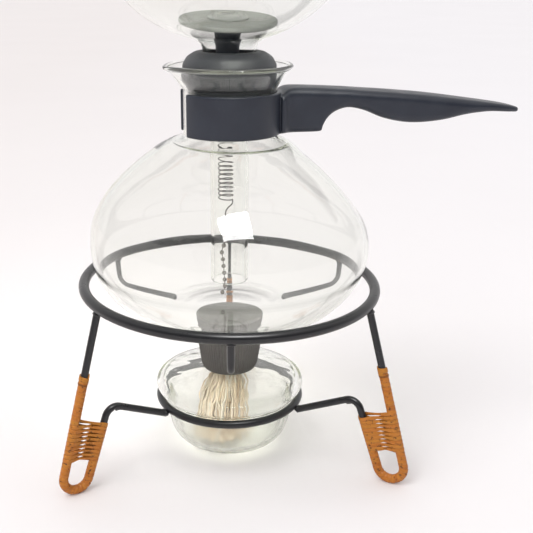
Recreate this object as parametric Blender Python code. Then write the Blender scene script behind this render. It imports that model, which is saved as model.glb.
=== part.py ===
"""Siphon coffee maker, as separate solids in one frame.

A wire stand with three cane-bound feet holds a glass pot on three prongs and a small spirit
lamp in a ring below it. The pot has a clip-on handle. A glass funnel stands in the pot's neck
on a rubber gasket, and a sprung filter lies in the funnel with its chain down the stem.

Units are metres, +Z up. Everything turned shares one vertical axis. The origin is on the
table, at the middle of the whole object's bounding box.
"""

import math

import bmesh
import bpy
from mathutils import Matrix
from mathutils import Vector

# ---------------------------------------------------------------- driving dimensions

# Which way the pieces point, in degrees from +X.
LEG_AZIMUTHS = {"back": 90.0, "left": 213.5, "right": 333.5}
PRONG_AZIMUTHS = {"front": 270.5, "left": 151.0, "right": 30.0}
HANDLE_AZIMUTH = 10.0
SPOUT_AZIMUTH = HANDLE_AZIMUTH + 180.0

# Stand: round rod.
RING_R = 0.0783
RING_Z = 0.0990
RING_ROD_R = 0.0028
RING_ROLL_DEG = 1.0
LEG_ROD_R = 0.0019
LEG_TOP_R = 0.0794
LEG_SLOPE = 0.272
ELBOW = (0.0752, 0.0457)
ELBOW_BEND_R = 0.0060
ARM_END = (0.0425, 0.0309)
FOOT_BEND_R = 0.0072
FOOT_FLAT_DEG = 24.0
LAMP_RING_R = 0.0391
LAMP_RING_Z = 0.0324
LAMP_RING_ROD_R = 0.0021
PRONG_ROD_R = 0.0018
PRONG_R = 0.0780
PRONG_Z = 0.0806
PRONG_BEND_R = 0.0060
PRONG_INNER_R = 0.0355
GAP = 0.0003

# Cane wound round the feet, and lashed across between the two rods of each leg.
CANE_R = 0.00260
CANE_BORE_R = 0.00215
CANE_TOP_Z = 0.0660
LASHING_TOP = (0.0424, 0.0362)
LASHING_FOOT = (0.0180, 0.0155)
LASHING_THICKNESS = 0.0020

# Pot: blown glass, wall inside the outline.
POT_WALL = 0.0022
POT_BOTTOM_Z = PRONG_Z + PRONG_ROD_R + GAP
POT_FLAT_R = 0.0400
POT_BODY = [(0.0565, 0.0895), (0.0660, 0.0990), (0.0720, 0.1100), (0.0738, 0.1220), (0.0720, 0.1335),
            (0.0660, 0.1440), (0.0575, 0.1540), (0.0480, 0.1630), (0.0400, 0.1695)]
POT_SHOULDER = [(0.0340, 0.1742), (0.0305, 0.1765), (0.0272, 0.1774), (0.0248, 0.1785)]
# The body is blown a little out of square: its shoulder is higher opposite the handle.
SHOULDER_LEAN = 0.048
SHOULDER_LEAN_LOW_Z = 0.1050
SHOULDER_LEAN_HIGH_Z = 0.1500
POT_FLARE = [(0.0252, 0.2050), (0.0284, 0.2103)]
POT_NECK_R = 0.0236
NECK_LOW_Z = 0.1796
NECK_HIGH_Z = 0.2018
RIM_R = 0.0320
RIM_Z = 0.2150
SPOUT_REACH = 0.0020
SPOUT_SPREAD_DEG = 20.0

# Clip-on handle: a split band round the neck, and a grip.
BAND_INNER_R = 0.0240
BAND_OUTER_R = 0.0262
BAND_LOW_Z = 0.1801
BAND_HIGH_Z = 0.2015
BAND_SPLIT_DEG = 48.0
# Along the grip: distance from the axis, half width, underside, top.
GRIP = [
    (0.0180, 0.0135, 0.1804, 0.2012),
    (0.0262, 0.0128, 0.1804, 0.2014),
    (0.0310, 0.0100, 0.1804, 0.2034),
    (0.0455, 0.0098, 0.1805, 0.2030),
    (0.0468, 0.0098, 0.1822, 0.2029),
    (0.0492, 0.0098, 0.1866, 0.2028),
    (0.0535, 0.0099, 0.1904, 0.2025),
    (0.0605, 0.0101, 0.1924, 0.2020),
    (0.0690, 0.0104, 0.1908, 0.2013),
    (0.0790, 0.0107, 0.1868, 0.2006),
    (0.0900, 0.0110, 0.1843, 0.1996),
    (0.1010, 0.0111, 0.1838, 0.1985),
    (0.1130, 0.0108, 0.1848, 0.1970),
    (0.1250, 0.0102, 0.1870, 0.1952),
    (0.1380, 0.0090, 0.1882, 0.1932),
    (0.1490, 0.0074, 0.1876, 0.1914),
    (0.1550, 0.0058, 0.1870, 0.1900),
    (0.1570, 0.0040, 0.1872, 0.1892),
]
GRIP_EDGE_R = 0.0034

# Funnel: blown glass globe on a straight stem.
FUNNEL_WALL = 0.0016
STEM_R = 0.0100
STEM_LOW_Z = 0.1000
STEM_HIGH_Z = 0.1980
FUNNEL_NECK_R = 0.0134
FUNNEL_NECK_LOW_Z = 0.2085
FUNNEL_NECK_HIGH_Z = 0.2213
GLOBE_R = 0.0625
GLOBE_Z = 0.2770
GLOBE_DROP = 0.0520
GLOBE_RISE = 0.0470
GLOBE_FOOT_R = 0.0180
# The globe is blown a little off the stem's axis.
GLOBE_SHIFT_X = -0.0017
GLOBE_SHIFT_LOW_Z = 0.2215
GLOBE_SHIFT_HIGH_Z = 0.2320
MOUTH_R = 0.0400
MOUTH_RIM_R = 0.0416
FUNNEL_TOP_Z = 0.3250

# Gasket between the funnel's neck and the pot's.
GASKET_BORE_R = FUNNEL_NECK_R + GAP
GASKET_R = 0.0237

# Filter: leans forward in the funnel, because its chain is not hooked.
FILTER_X = -0.0007
FILTER_Z = 0.2352
FILTER_LEAN_DEG = 5.9
FILTER_ROLL_DEG = 1.4
FILTER_R = 0.0246
FILTER_THICKNESS = 0.0014
FILTER_HOLE_R = 0.0034
SPIGOT_R = 0.0030
MESH_THICKNESS = 0.0004
BUTTON_R = 0.0102
PLUG_FLANGE_R = 0.0110
PLUG_TOP_R = 0.0070
PLUG_END_R = 0.0060
PLUG_LENGTH = 0.0300
SPRING_R = 0.00385
SPRING_WIRE_R = 0.00030
SPRING_X = -0.0021
SPRING_Y = 0.0012
SPRING_TOP_Z = 0.2035
SPRING_OPEN_END_Z = 0.1640
SPRING_LOW_Z = 0.1443
SPRING_OPEN_TURNS = 9
SPRING_CLOSE_TURNS = 9
LINK_LOW_Z = 0.1330
BEAD_R = 0.00120
BEAD_PITCH = 0.0040
CHAIN_WIRE_R = 0.00032
# The chain's route: x and z.
CHAIN_ROUTE = [(-0.0020, 0.1322), (-0.0022, 0.1260), (-0.0028, 0.1200), (-0.0042, 0.1160), (-0.0037, 0.1120),
               (-0.0032, 0.1060), (-0.0026, 0.0980), (-0.0027, 0.0940), (-0.0045, 0.0905)]

# Spirit lamp: glass bowl, wick holder, wick and snuffer cap.
LAMP_WALL = 0.0022
LAMP_LOW_Z = 0.0058
LAMP_OUTLINE = [(0.0290, 0.0075), (0.0333, 0.0140), (0.0348, 0.0220), (0.0355, 0.0290), (0.0363, 0.0326),
                (0.0384, 0.0355), (0.0405, 0.0380), (0.0410, 0.0405), (0.0392, 0.0438), (0.0300, 0.0468),
                (0.0180, 0.0485)]
LAMP_FLAT_R = 0.0215
LAMP_MOUTH_R = 0.0116
LAMP_MOUTH_Z = 0.0540
HOLDER_R = 0.0110
HOLDER_TUBE_R = 0.0046
WICK_R = 0.0032
CAP_LOW_R = 0.0158
CAP_HIGH_R = 0.0192
CAP_LOW_Z = 0.0492
CAP_TOP_Z = 0.0780
CAP_WALL = 0.0020
CAP_RIBS = 40
CAP_RIB_DEPTH = 0.0005

# Steps round a turned piece.
FINE = 36
MEDIUM = 28
ROD_SIDES = 8


# ---------------------------------------------------------------- where the axis stands

def foot_reach():
    """Outermost distance of a bound foot from the axis."""
    centre, _ = foot_circle()
    return centre[0] + FOOT_BEND_R + CANE_R * math.cos(math.pi / ROD_SIDES)


def axis_place():
    """Place of the common axis, so that the origin is the bounding box's middle."""
    left = foot_reach() * math.cos(math.radians(LEG_AZIMUTHS["left"]))
    right = GRIP[-1][0] * math.cos(math.radians(HANDLE_AZIMUTH))
    front = -(RING_R + RING_ROD_R)
    back = foot_reach()
    return Vector((-(left + right) / 2, -(front + back) / 2, 0.0))


# ---------------------------------------------------------------- small geometry helpers

def smooth(points, steps):
    """Catmull-Rom curve through the points, in the given number of steps between two."""
    ends = [points[0]] + list(points) + [points[-1]]
    curve = []
    for i in range(1, len(ends) - 2):
        for step in range(steps):
            t = step / steps
            curve.append(tuple(
                0.5 * (2 * b + (c - a) * t + (2 * a - 5 * b + 4 * c - d) * t * t
                       + (3 * b - a - 3 * c + d) * t ** 3)
                for a, b, c, d in zip(ends[i - 1], ends[i], ends[i + 1], ends[i + 2])))
    return curve + [tuple(points[-1])]


def arc(centre, radius, start_deg, end_deg, steps):
    """Points along an arc, both ends included."""
    angles = [math.radians(start_deg + (end_deg - start_deg) * i / steps) for i in range(steps + 1)]
    return [(centre[0] + radius * math.cos(a), centre[1] + radius * math.sin(a)) for a in angles]


def fillet(before, corner, after, radius, steps):
    """Arc that rounds the corner between two straight runs."""
    corner = Vector(corner)
    into = (Vector(before) - corner).normalized()
    out = (Vector(after) - corner).normalized()
    half = into.angle(out) / 2
    centre = corner + (into + out).normalized() * radius / math.sin(half)
    tangent = radius / math.tan(half)
    first = corner + into * tangent - centre
    last = corner + out * tangent - centre
    turn = first.angle_signed(last)
    points = []
    for i in range(steps + 1):
        angle = -turn * i / steps
        points.append(tuple(centre + Matrix.Rotation(angle, 2) @ first))
    return points


def inset_outline(outline, wall):
    """The outline moved inwards by the wall's thickness, point by point."""
    moved = []
    last = len(outline) - 1
    for i, point in enumerate(outline):
        before = Vector(outline[max(i - 1, 0)])
        after = Vector(outline[min(i + 1, last)])
        along = (after - before).normalized()
        moved.append((max(point[0] - along[1] * wall, 0.0), point[1] + along[0] * wall))
    return moved


# ---------------------------------------------------------------- mesh builders

def bridge_rings(mesh, ring, following):
    """Faces between two rings of vertices; a ring of one vertex is a pole."""
    count = max(len(ring), len(following))
    for i in range(count):
        j = (i + 1) % count
        if len(ring) == 1:
            mesh.faces.new((ring[0], following[i], following[j]))
        elif len(following) == 1:
            mesh.faces.new((ring[i], ring[j], following[0]))
        else:
            mesh.faces.new((ring[i], ring[j], following[j], following[i]))


def revolve(outline, steps, closed=False):
    """Turned solid. The outline is (radius, height); radius 0 makes a pole."""
    mesh = bmesh.new()
    rings = []
    for radius, height in outline:
        if radius < 1e-7:
            rings.append([mesh.verts.new((0.0, 0.0, height))])
            continue
        rings.append([mesh.verts.new((radius * math.cos(2 * math.pi * i / steps),
                                      radius * math.sin(2 * math.pi * i / steps), height))
                      for i in range(steps)])
    for ring, following in zip(rings, rings[1:]):
        bridge_rings(mesh, ring, following)
    if closed:
        bridge_rings(mesh, rings[-1], rings[0])
    return mesh


def sweep(path, radii, sides, first_normal):
    """Round rod along a path, with flat ends. The radii follow the path's points."""
    mesh = bmesh.new()
    points = [Vector(p) for p in path]
    normal = Vector(first_normal)
    rings = []
    for i, point in enumerate(points):
        before = points[max(i - 1, 0)]
        after = points[min(i + 1, len(points) - 1)]
        tangent = ((after - point).normalized() + (point - before).normalized()).normalized()
        normal = (normal - tangent * normal.dot(tangent)).normalized()
        side = tangent.cross(normal)
        ring = []
        for k in range(sides):
            angle = 2 * math.pi * (k + 0.5) / sides
            offset = normal * math.cos(angle) + side * math.sin(angle)
            ring.append(mesh.verts.new(point + offset * radii[i]))
        rings.append(ring)
    for ring, following in zip(rings, rings[1:]):
        bridge_rings(mesh, ring, following)
    mesh.faces.new(rings[0])
    mesh.faces.new(rings[-1])
    return mesh


def upright_rod(path, radius, sides=ROD_SIDES):
    """Rod along a path given as (radius, height), in the plane y = 0."""
    points = [(r, 0.0, z) for r, z in path]
    run = Vector(points[1]) - Vector(points[0])
    normal = Vector((-run.z, 0.0, run.x)).normalized()
    return sweep(points, [radius] * len(points), sides, normal)


def prism(corners, depth):
    """Flat plate: an outline in the plane y = 0, thickened both ways along y."""
    mesh = bmesh.new()
    front = [mesh.verts.new((r, -depth / 2, z)) for r, z in corners]
    back = [mesh.verts.new((r, depth / 2, z)) for r, z in corners]
    bridge_rings(mesh, front, back)
    mesh.faces.new(front)
    mesh.faces.new(back)
    return mesh


# ---------------------------------------------------------------- objects and materials

def make_material(name, color, roughness, metallic=0.0, transmission=0.0):
    """Principled material in the piece's plain colour."""
    material = bpy.data.materials.new(name)
    material.use_nodes = True
    shader = material.node_tree.nodes["Principled BSDF"]
    shader.inputs["Base Color"].default_value = (*color, 1.0)
    shader.inputs["Roughness"].default_value = roughness
    shader.inputs["Metallic"].default_value = metallic
    shader.inputs["Transmission Weight"].default_value = transmission
    return material


def add_object(name, mesh, material, parent, azimuth=0.0):
    """Closed mesh object, shaded smooth, turned about the parent's vertical axis."""
    bmesh.ops.recalc_face_normals(mesh, faces=mesh.faces)
    data = bpy.data.meshes.new(name)
    mesh.to_mesh(data)
    mesh.free()
    data.shade_smooth()
    data.set_sharp_from_angle(angle=math.radians(40))
    data.materials.append(material)
    thing = bpy.data.objects.new(name, data)
    bpy.context.scene.collection.objects.link(thing)
    thing.parent = parent
    thing.rotation_euler = (0.0, 0.0, math.radians(azimuth))
    return thing


def add_tool(name, mesh, material, parent, azimuth=0.0):
    """Hidden shape that a Boolean joins or cuts with."""
    tool = add_object(name, mesh, material, parent, azimuth)
    tool.hide_render = True
    tool.display_type = "WIRE"
    return tool


def add_boolean(thing, operation, tool):
    """Exact Boolean with a hidden shape."""
    modifier = thing.modifiers.new(operation.lower(), "BOOLEAN")
    modifier.operation = operation
    modifier.solver = "EXACT"
    modifier.object = tool


def add_empty(name, parent=None):
    """Empty that a moving piece hangs from, on the common axis."""
    empty = bpy.data.objects.new(name, None)
    bpy.context.scene.collection.objects.link(empty)
    empty.parent = parent
    return empty


# ---------------------------------------------------------------- the stand

def ring_height(azimuth):
    """Height of the pot ring's middle line, which leans a little to the right."""
    return RING_Z - RING_R * math.cos(math.radians(azimuth)) * math.tan(math.radians(RING_ROLL_DEG))


def foot_circle():
    """Middle of a foot's bend, and where the outer rod meets that bend."""
    flat = math.radians(FOOT_FLAT_DEG / 2)
    height = (FOOT_BEND_R + CANE_R * math.cos(math.pi / ROD_SIDES)) * math.cos(flat)
    down = Vector((LEG_SLOPE, -1.0)).normalized()
    inward = Vector((down.y, -down.x))
    top = Vector(outer_rod(RING_Z))
    travel = (height - top.y - inward.y * FOOT_BEND_R) / down.y
    meet = top + down * travel
    return meet + inward * FOOT_BEND_R, meet


def foot_bend():
    """The bend's points from the outer rod to the inner one, with a flat run at the bottom."""
    centre, meet = foot_circle()
    start = math.degrees(math.atan2(meet.y - centre.y, meet.x - centre.x))
    away = Vector(ELBOW) - centre
    lean = math.degrees(math.acos(FOOT_BEND_R / away.length))
    end = math.degrees(math.atan2(away.y, away.x)) + lean - 360.0
    half = FOOT_FLAT_DEG / 2
    return (arc(centre, FOOT_BEND_R, start, -90.0 + half, 4)
            + arc(centre, FOOT_BEND_R, -90.0 - half, end, 3))


def outer_rod(height):
    """Point of the leg's straight outer rod at a height."""
    return (LEG_TOP_R + (RING_Z - RING_ROD_R - height) * LEG_SLOPE, height)


def point_at_height(a, b, height):
    """Point on the line through a and b at a height."""
    t = (height - a[1]) / (b[1] - a[1])
    return (a[0] + (b[0] - a[0]) * t, height)


def make_leg(side, azimuth, black, parent):
    """One bent rod: down to the foot, back up, and in to the lamp's ring."""
    bend = foot_bend()
    top = outer_rod(ring_height(azimuth) - RING_ROD_R - GAP)
    elbow = fillet(bend[-1], ELBOW, ARM_END, ELBOW_BEND_R, 5)
    path = [top] + bend + elbow + [ARM_END]
    add_object("leg_" + side, upright_rod(path, LEG_ROD_R), black, parent, azimuth)


def make_cane(side, azimuth, cane, parent):
    """Cane sleeve round the foot and the web of lashing between its two rods."""
    bend = foot_bend()
    outer_end = outer_rod(CANE_TOP_Z)
    inner_end = point_at_height(bend[-1], ELBOW, LASHING_TOP[1] + GAP)
    sleeve = add_object("cane_" + side, upright_rod([outer_end] + bend + [inner_end], CANE_R),
                        cane, parent, azimuth)
    web = [outer_rod(LASHING_TOP[0]), point_at_height(bend[-1], ELBOW, LASHING_TOP[1]),
           point_at_height(bend[-1], ELBOW, LASHING_FOOT[1]), outer_rod(LASHING_FOOT[0])]
    lashing = add_tool("lashing_tool_" + side, prism(web, LASHING_THICKNESS), cane, parent, azimuth)
    past = 0.004
    rod = [outer_rod(CANE_TOP_Z + past)] + bend
    rod.append(point_at_height(bend[-1], ELBOW, LASHING_TOP[1] + past))
    bore = add_tool("cane_bore_" + side, upright_rod(rod, CANE_BORE_R), cane, parent, azimuth)
    add_boolean(sleeve, "UNION", lashing)
    add_boolean(sleeve, "DIFFERENCE", bore)


def make_prong(side, azimuth, black, parent):
    """Short bent rod under the ring, which the pot stands on."""
    top = (PRONG_R, ring_height(azimuth) - RING_ROD_R - GAP)
    corner = (PRONG_R, PRONG_Z)
    end = (PRONG_INNER_R, PRONG_Z)
    path = [top] + fillet(top, corner, end, PRONG_BEND_R, 4) + [end]
    add_object("prong_" + side, upright_rod(path, PRONG_ROD_R), black, parent, azimuth)


def make_stand(parent):
    """Two rings, three legs with their cane, and three prongs."""
    black = make_material("satin_black", (0.035, 0.034, 0.036), 0.42)
    cane = make_material("cane", (0.45, 0.20, 0.06), 0.55)
    pot_ring = arc((RING_R, 0.0), RING_ROD_R, 22.5, 337.5, ROD_SIDES - 1)
    ring = add_object("pot_ring", revolve(pot_ring, 48, closed=True), black, parent)
    ring.location = (0.0, 0.0, RING_Z)
    ring.rotation_euler = (0.0, math.radians(RING_ROLL_DEG), 0.0)
    lamp_ring = arc((LAMP_RING_R, LAMP_RING_Z), LAMP_RING_ROD_R, 22.5, 337.5, ROD_SIDES - 1)
    add_object("lamp_ring", revolve(lamp_ring, MEDIUM, closed=True), black, parent)
    for side, azimuth in LEG_AZIMUTHS.items():
        make_leg(side, azimuth, black, parent)
        make_cane(side, azimuth, cane, parent)
    for side, azimuth in PRONG_AZIMUTHS.items():
        make_prong(side, azimuth, black, parent)


# ---------------------------------------------------------------- the pot

def pot_outline():
    """Outer outline from the base to under the rim."""
    body = [(POT_FLAT_R, POT_BOTTOM_Z)] + POT_BODY + POT_SHOULDER + [(POT_NECK_R, NECK_LOW_Z)]
    return body + [(POT_NECK_R, NECK_HIGH_Z)] + POT_FLARE + [(RIM_R - 0.0006, 0.2137)]


def pull_spout(mesh):
    """Draws the rim out into a pouring lip."""
    direction = math.radians(SPOUT_AZIMUTH)
    for vertex in mesh.verts:
        rise = (vertex.co.z - NECK_HIGH_Z) / (RIM_Z - NECK_HIGH_Z)
        if rise <= 0:
            continue
        angle = math.atan2(vertex.co.y, vertex.co.x) - direction
        angle = math.degrees(math.atan2(math.sin(angle), math.cos(angle)))
        pull = SPOUT_REACH * rise ** 2 * math.exp(-(angle / SPOUT_SPREAD_DEG) ** 2)
        vertex.co.x += pull * math.cos(direction)
        vertex.co.y += pull * math.sin(direction)
        vertex.co.z -= 0.4 * pull


def ease(value, low, high):
    """Smooth step from 0 at low to 1 at high."""
    share = min(max((value - low) / (high - low), 0.0), 1.0)
    return share * share * (3.0 - 2.0 * share)


def lean_shoulder(mesh):
    """Raises the shoulder opposite the handle, and leaves the base and the neck square."""
    for vertex in mesh.verts:
        share = ease(vertex.co.z, SHOULDER_LEAN_LOW_Z, SHOULDER_LEAN_HIGH_Z)
        share *= 1.0 - ease(vertex.co.z, POT_SHOULDER[0][1] - 0.0040, NECK_LOW_Z)
        vertex.co.z -= SHOULDER_LEAN * share * vertex.co.x


def make_pot_glass(glass, parent):
    """One glass shell, open at the rim."""
    outer = pot_outline()
    inner = inset_outline(outer, POT_WALL)
    rim = arc((RIM_R - POT_WALL / 2, RIM_Z - POT_WALL / 2), POT_WALL * 0.6, -20, 200, 4)
    shell = [(0.0, POT_BOTTOM_Z)] + outer + rim + inner[::-1] + [(0.0, POT_BOTTOM_Z + POT_WALL)]
    mesh = revolve(shell, FINE)
    lean_shoulder(mesh)
    pull_spout(mesh)
    add_object("pot_glass", mesh, glass, parent)


def grip_section(mesh, distance, half_width, low, high):
    """Rounded rectangle across the grip."""
    edge = min(GRIP_EDGE_R, 0.45 * (high - low), 0.45 * half_width)
    corners = [(half_width - edge, high - edge, 0), (edge - half_width, high - edge, 90),
               (edge - half_width, low + edge, 180), (half_width - edge, low + edge, 270)]
    ring = []
    for y, z, start in corners:
        ring += [mesh.verts.new((distance, a, b)) for a, b in arc((y, z), edge, start, start + 90, 2)]
    return ring


def make_handle(black, parent):
    """Grip and split band in one moulding: a loft joined to a ring."""
    mesh = bmesh.new()
    rings = [grip_section(mesh, *row) for row in GRIP]
    for ring, following in zip(rings, rings[1:]):
        bridge_rings(mesh, ring, following)
    mesh.faces.new(rings[0])
    mesh.faces.new(rings[-1])
    handle = add_object("pot_handle", mesh, black, parent, HANDLE_AZIMUTH)
    band = revolve([(0, BAND_LOW_Z), (BAND_OUTER_R, BAND_LOW_Z), (BAND_OUTER_R, BAND_HIGH_Z),
                    (0, BAND_HIGH_Z)], 48)
    past = 0.006
    bore = revolve([(0, BAND_LOW_Z - past), (BAND_INNER_R, BAND_LOW_Z - past),
                    (BAND_INNER_R, BAND_HIGH_Z + past), (0, BAND_HIGH_Z + past)], 48)
    reach = 0.040
    spread = reach * math.tan(math.radians(BAND_SPLIT_DEG / 2))
    wedge = bmesh.new()
    low = [wedge.verts.new(p + (BAND_LOW_Z - past,)) for p in ((0, 0), (-reach, -spread), (-reach, spread))]
    high = [wedge.verts.new((v.co.x, v.co.y, BAND_HIGH_Z + past)) for v in low]
    bridge_rings(wedge, low, high)
    wedge.faces.new(low)
    wedge.faces.new(high)
    add_boolean(handle, "UNION", add_tool("band_tool", band, black, parent, HANDLE_AZIMUTH))
    add_boolean(handle, "DIFFERENCE", add_tool("band_bore", bore, black, parent, HANDLE_AZIMUTH))
    add_boolean(handle, "DIFFERENCE", add_tool("band_split", wedge, black, parent, HANDLE_AZIMUTH))


# ---------------------------------------------------------------- the funnel

def globe_height(radius, reach):
    """Height of the globe's outline above its middle, for a rise or a drop."""
    return reach * math.sqrt(1 - (radius / GLOBE_R) ** 2)


def globe_outline():
    """Outer outline of the globe, from just above its neck to its mouth."""
    low = [GLOBE_FOOT_R, 0.030, 0.041, 0.051, 0.059]
    high = [0.0595, 0.052, MOUTH_R]
    points = [(r, GLOBE_Z - globe_height(r, GLOBE_DROP)) for r in low]
    points.append((GLOBE_R, GLOBE_Z))
    return points + [(r, GLOBE_Z + globe_height(r, GLOBE_RISE)) for r in high]


def make_funnel_glass(glass, parent):
    """Stem, neck and globe in one glass shell, open at both ends."""
    taper = smooth([(STEM_R, STEM_HIGH_Z), (0.0116, 0.2032), (FUNNEL_NECK_R, FUNNEL_NECK_LOW_Z)], 2)
    spread = smooth([(FUNNEL_NECK_R, FUNNEL_NECK_HIGH_Z), (0.0148, 0.2248)], 2)
    outer = [(STEM_R, STEM_LOW_Z)] + taper + spread + globe_outline()
    outer.append((MOUTH_R - 0.0004, FUNNEL_TOP_Z - 0.0060))
    inner = inset_outline(outer, FUNNEL_WALL)
    inner[0] = (STEM_R - FUNNEL_WALL, STEM_LOW_Z)
    rim = arc((MOUTH_RIM_R - FUNNEL_WALL, FUNNEL_TOP_Z - 0.0016), 0.0016, -40, 200, 5)
    mesh = revolve(outer + rim + inner[::-1], FINE, closed=True)
    for vertex in mesh.verts:
        rise = (vertex.co.z - GLOBE_SHIFT_LOW_Z) / (GLOBE_SHIFT_HIGH_Z - GLOBE_SHIFT_LOW_Z)
        rise = min(max(rise, 0.0), 1.0)
        vertex.co.x += GLOBE_SHIFT_X * rise * rise * (3 - 2 * rise)
    add_object("funnel_glass", mesh, glass, parent)


def make_gasket(parent):
    """Rubber bung round the funnel's neck, with a domed flange."""
    rubber = make_material("black_rubber", (0.045, 0.045, 0.048), 0.6)
    outline = [(GASKET_BORE_R, 0.1915), (0.0192, 0.1915), (0.0198, 0.1935), (0.0207, 0.2030), (0.0222, 0.2046),
               (GASKET_R, 0.2076), (GASKET_R, 0.2135), (0.0225, 0.2172), (0.0190, 0.2200), (0.0150, 0.2210),
               (GASKET_BORE_R, 0.2208)]
    add_object("gasket", revolve(outline, MEDIUM, closed=True), rubber, parent)


# ---------------------------------------------------------------- the filter

def make_filter(parent):
    """Plate, mesh, button and plug on one leaning axis, with the spring and chain below."""
    grey = make_material("filter_grey", (0.46, 0.46, 0.42), 0.5)
    cloth = make_material("filter_mesh", (0.55, 0.55, 0.50), 0.7)
    black = make_material("filter_black", (0.05, 0.055, 0.065), 0.45)
    steel = make_material("spring_steel", (0.45, 0.43, 0.40), 0.3, metallic=1.0)
    lean = add_empty("filter_lean", parent)
    lean.location = (FILTER_X, 0.0, FILTER_Z)
    lean.rotation_euler = (math.radians(FILTER_LEAN_DEG), math.radians(FILTER_ROLL_DEG), 0.0)
    half = FILTER_THICKNESS / 2
    plate = [(FILTER_HOLE_R, -half), (FILTER_R - 0.0006, -half), (FILTER_R, 0.0), (FILTER_R - 0.0004, half),
             (FILTER_HOLE_R, half)]
    add_object("filter_plate", revolve(plate, MEDIUM, closed=True), grey, lean)
    low = half + GAP
    sheet = [(BUTTON_R + GAP, low), (FILTER_R - 0.0008, low), (FILTER_R - 0.0008, low + MESH_THICKNESS),
             (BUTTON_R + GAP, low + MESH_THICKNESS)]
    add_object("filter_mesh", revolve(sheet, MEDIUM, closed=True), cloth, lean)
    button = [(0.0, low + 0.0012), (FILTER_HOLE_R, low + 0.0012), (FILTER_HOLE_R, low), (BUTTON_R, low),
              (BUTTON_R, low + 0.0013), (0.0084, low + 0.0020), (0.0068, low + 0.0030),
              (0.0052, low + 0.0030), (0.0040, low + 0.0022), (0.0, low + 0.0020)]
    add_object("filter_button", revolve(button, 20), grey, lean)
    under = -half - GAP
    plug = [(0.0, low + 0.0008), (SPIGOT_R, low + 0.0008), (SPIGOT_R, under), (PLUG_FLANGE_R, under),
            (PLUG_FLANGE_R, under - 0.0008), (PLUG_TOP_R, under - 0.0036), (PLUG_END_R, under - 0.0100),
            (PLUG_END_R, -PLUG_LENGTH), (0.0, -PLUG_LENGTH)]
    add_object("filter_plug", revolve(plug, 20), black, lean)
    make_spring(steel, parent)
    make_chain(steel, parent)


def spring_path():
    """Helix that is drawn open at the top and nearly closed at the bottom."""
    per_turn = 9
    path = []
    turns = SPRING_OPEN_TURNS + SPRING_CLOSE_TURNS
    for i in range(turns * per_turn + 1):
        turn = i / per_turn
        if turn < SPRING_OPEN_TURNS:
            height = SPRING_TOP_Z + (SPRING_OPEN_END_Z - SPRING_TOP_Z) * turn / SPRING_OPEN_TURNS
        else:
            part = (turn - SPRING_OPEN_TURNS) / SPRING_CLOSE_TURNS
            height = SPRING_OPEN_END_Z + (SPRING_LOW_Z - SPRING_OPEN_END_Z) * part
        angle = 2 * math.pi * turn
        path.append((SPRING_X + SPRING_R * math.cos(angle), SPRING_Y + SPRING_R * math.sin(angle), height))
    return path


def make_spring(steel, parent):
    """Coil spring, and the straight wire link from its last turn to the chain."""
    path = spring_path()
    add_object("filter_spring", sweep(path, [SPRING_WIRE_R] * len(path), 4, (1.0, 0.0, 0.0)), steel, parent)
    last = Vector(path[-1])
    link = [(last.x, last.y, last.z - 0.0012), (SPRING_X + 0.001, SPRING_Y, last.z - 0.0042),
            (SPRING_X, SPRING_Y, LINK_LOW_Z)]
    add_object("spring_link", sweep(link, [0.00035] * 3, 5, (1.0, 0.0, 0.0)), steel, parent)


def make_chain(steel, parent):
    """Bead chain in one solid: a thin wire that swells into a ball at each pitch."""
    route = [Vector((x, SPRING_Y, z)) for x, z in smooth(CHAIN_ROUTE, 12)]
    travelled = [0.0]
    for a, b in zip(route, route[1:]):
        travelled.append(travelled[-1] + (b - a).length)

    def at(distance):
        for i in range(1, len(route)):
            if travelled[i] >= distance:
                share = (distance - travelled[i - 1]) / (travelled[i] - travelled[i - 1])
                return route[i - 1].lerp(route[i], share)
        return route[-1]

    beads = int((travelled[-1] - BEAD_R) / BEAD_PITCH) + 1
    path = []
    radii = []
    reach = math.sqrt(BEAD_R ** 2 - CHAIN_WIRE_R ** 2)
    for bead in range(beads):
        middle = travelled[-1] - BEAD_R - (beads - 1 - bead) * BEAD_PITCH
        for offset in (-reach, -0.62 * BEAD_R, 0.0, 0.62 * BEAD_R, reach):
            distance = middle + offset
            if distance < 0:
                continue
            path.append(at(distance))
            radii.append(math.sqrt(BEAD_R ** 2 - offset ** 2))
    add_object("bead_chain", sweep(path, radii, 7, (1.0, 0.0, 0.0)), steel, parent)


# ---------------------------------------------------------------- the lamp

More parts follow.
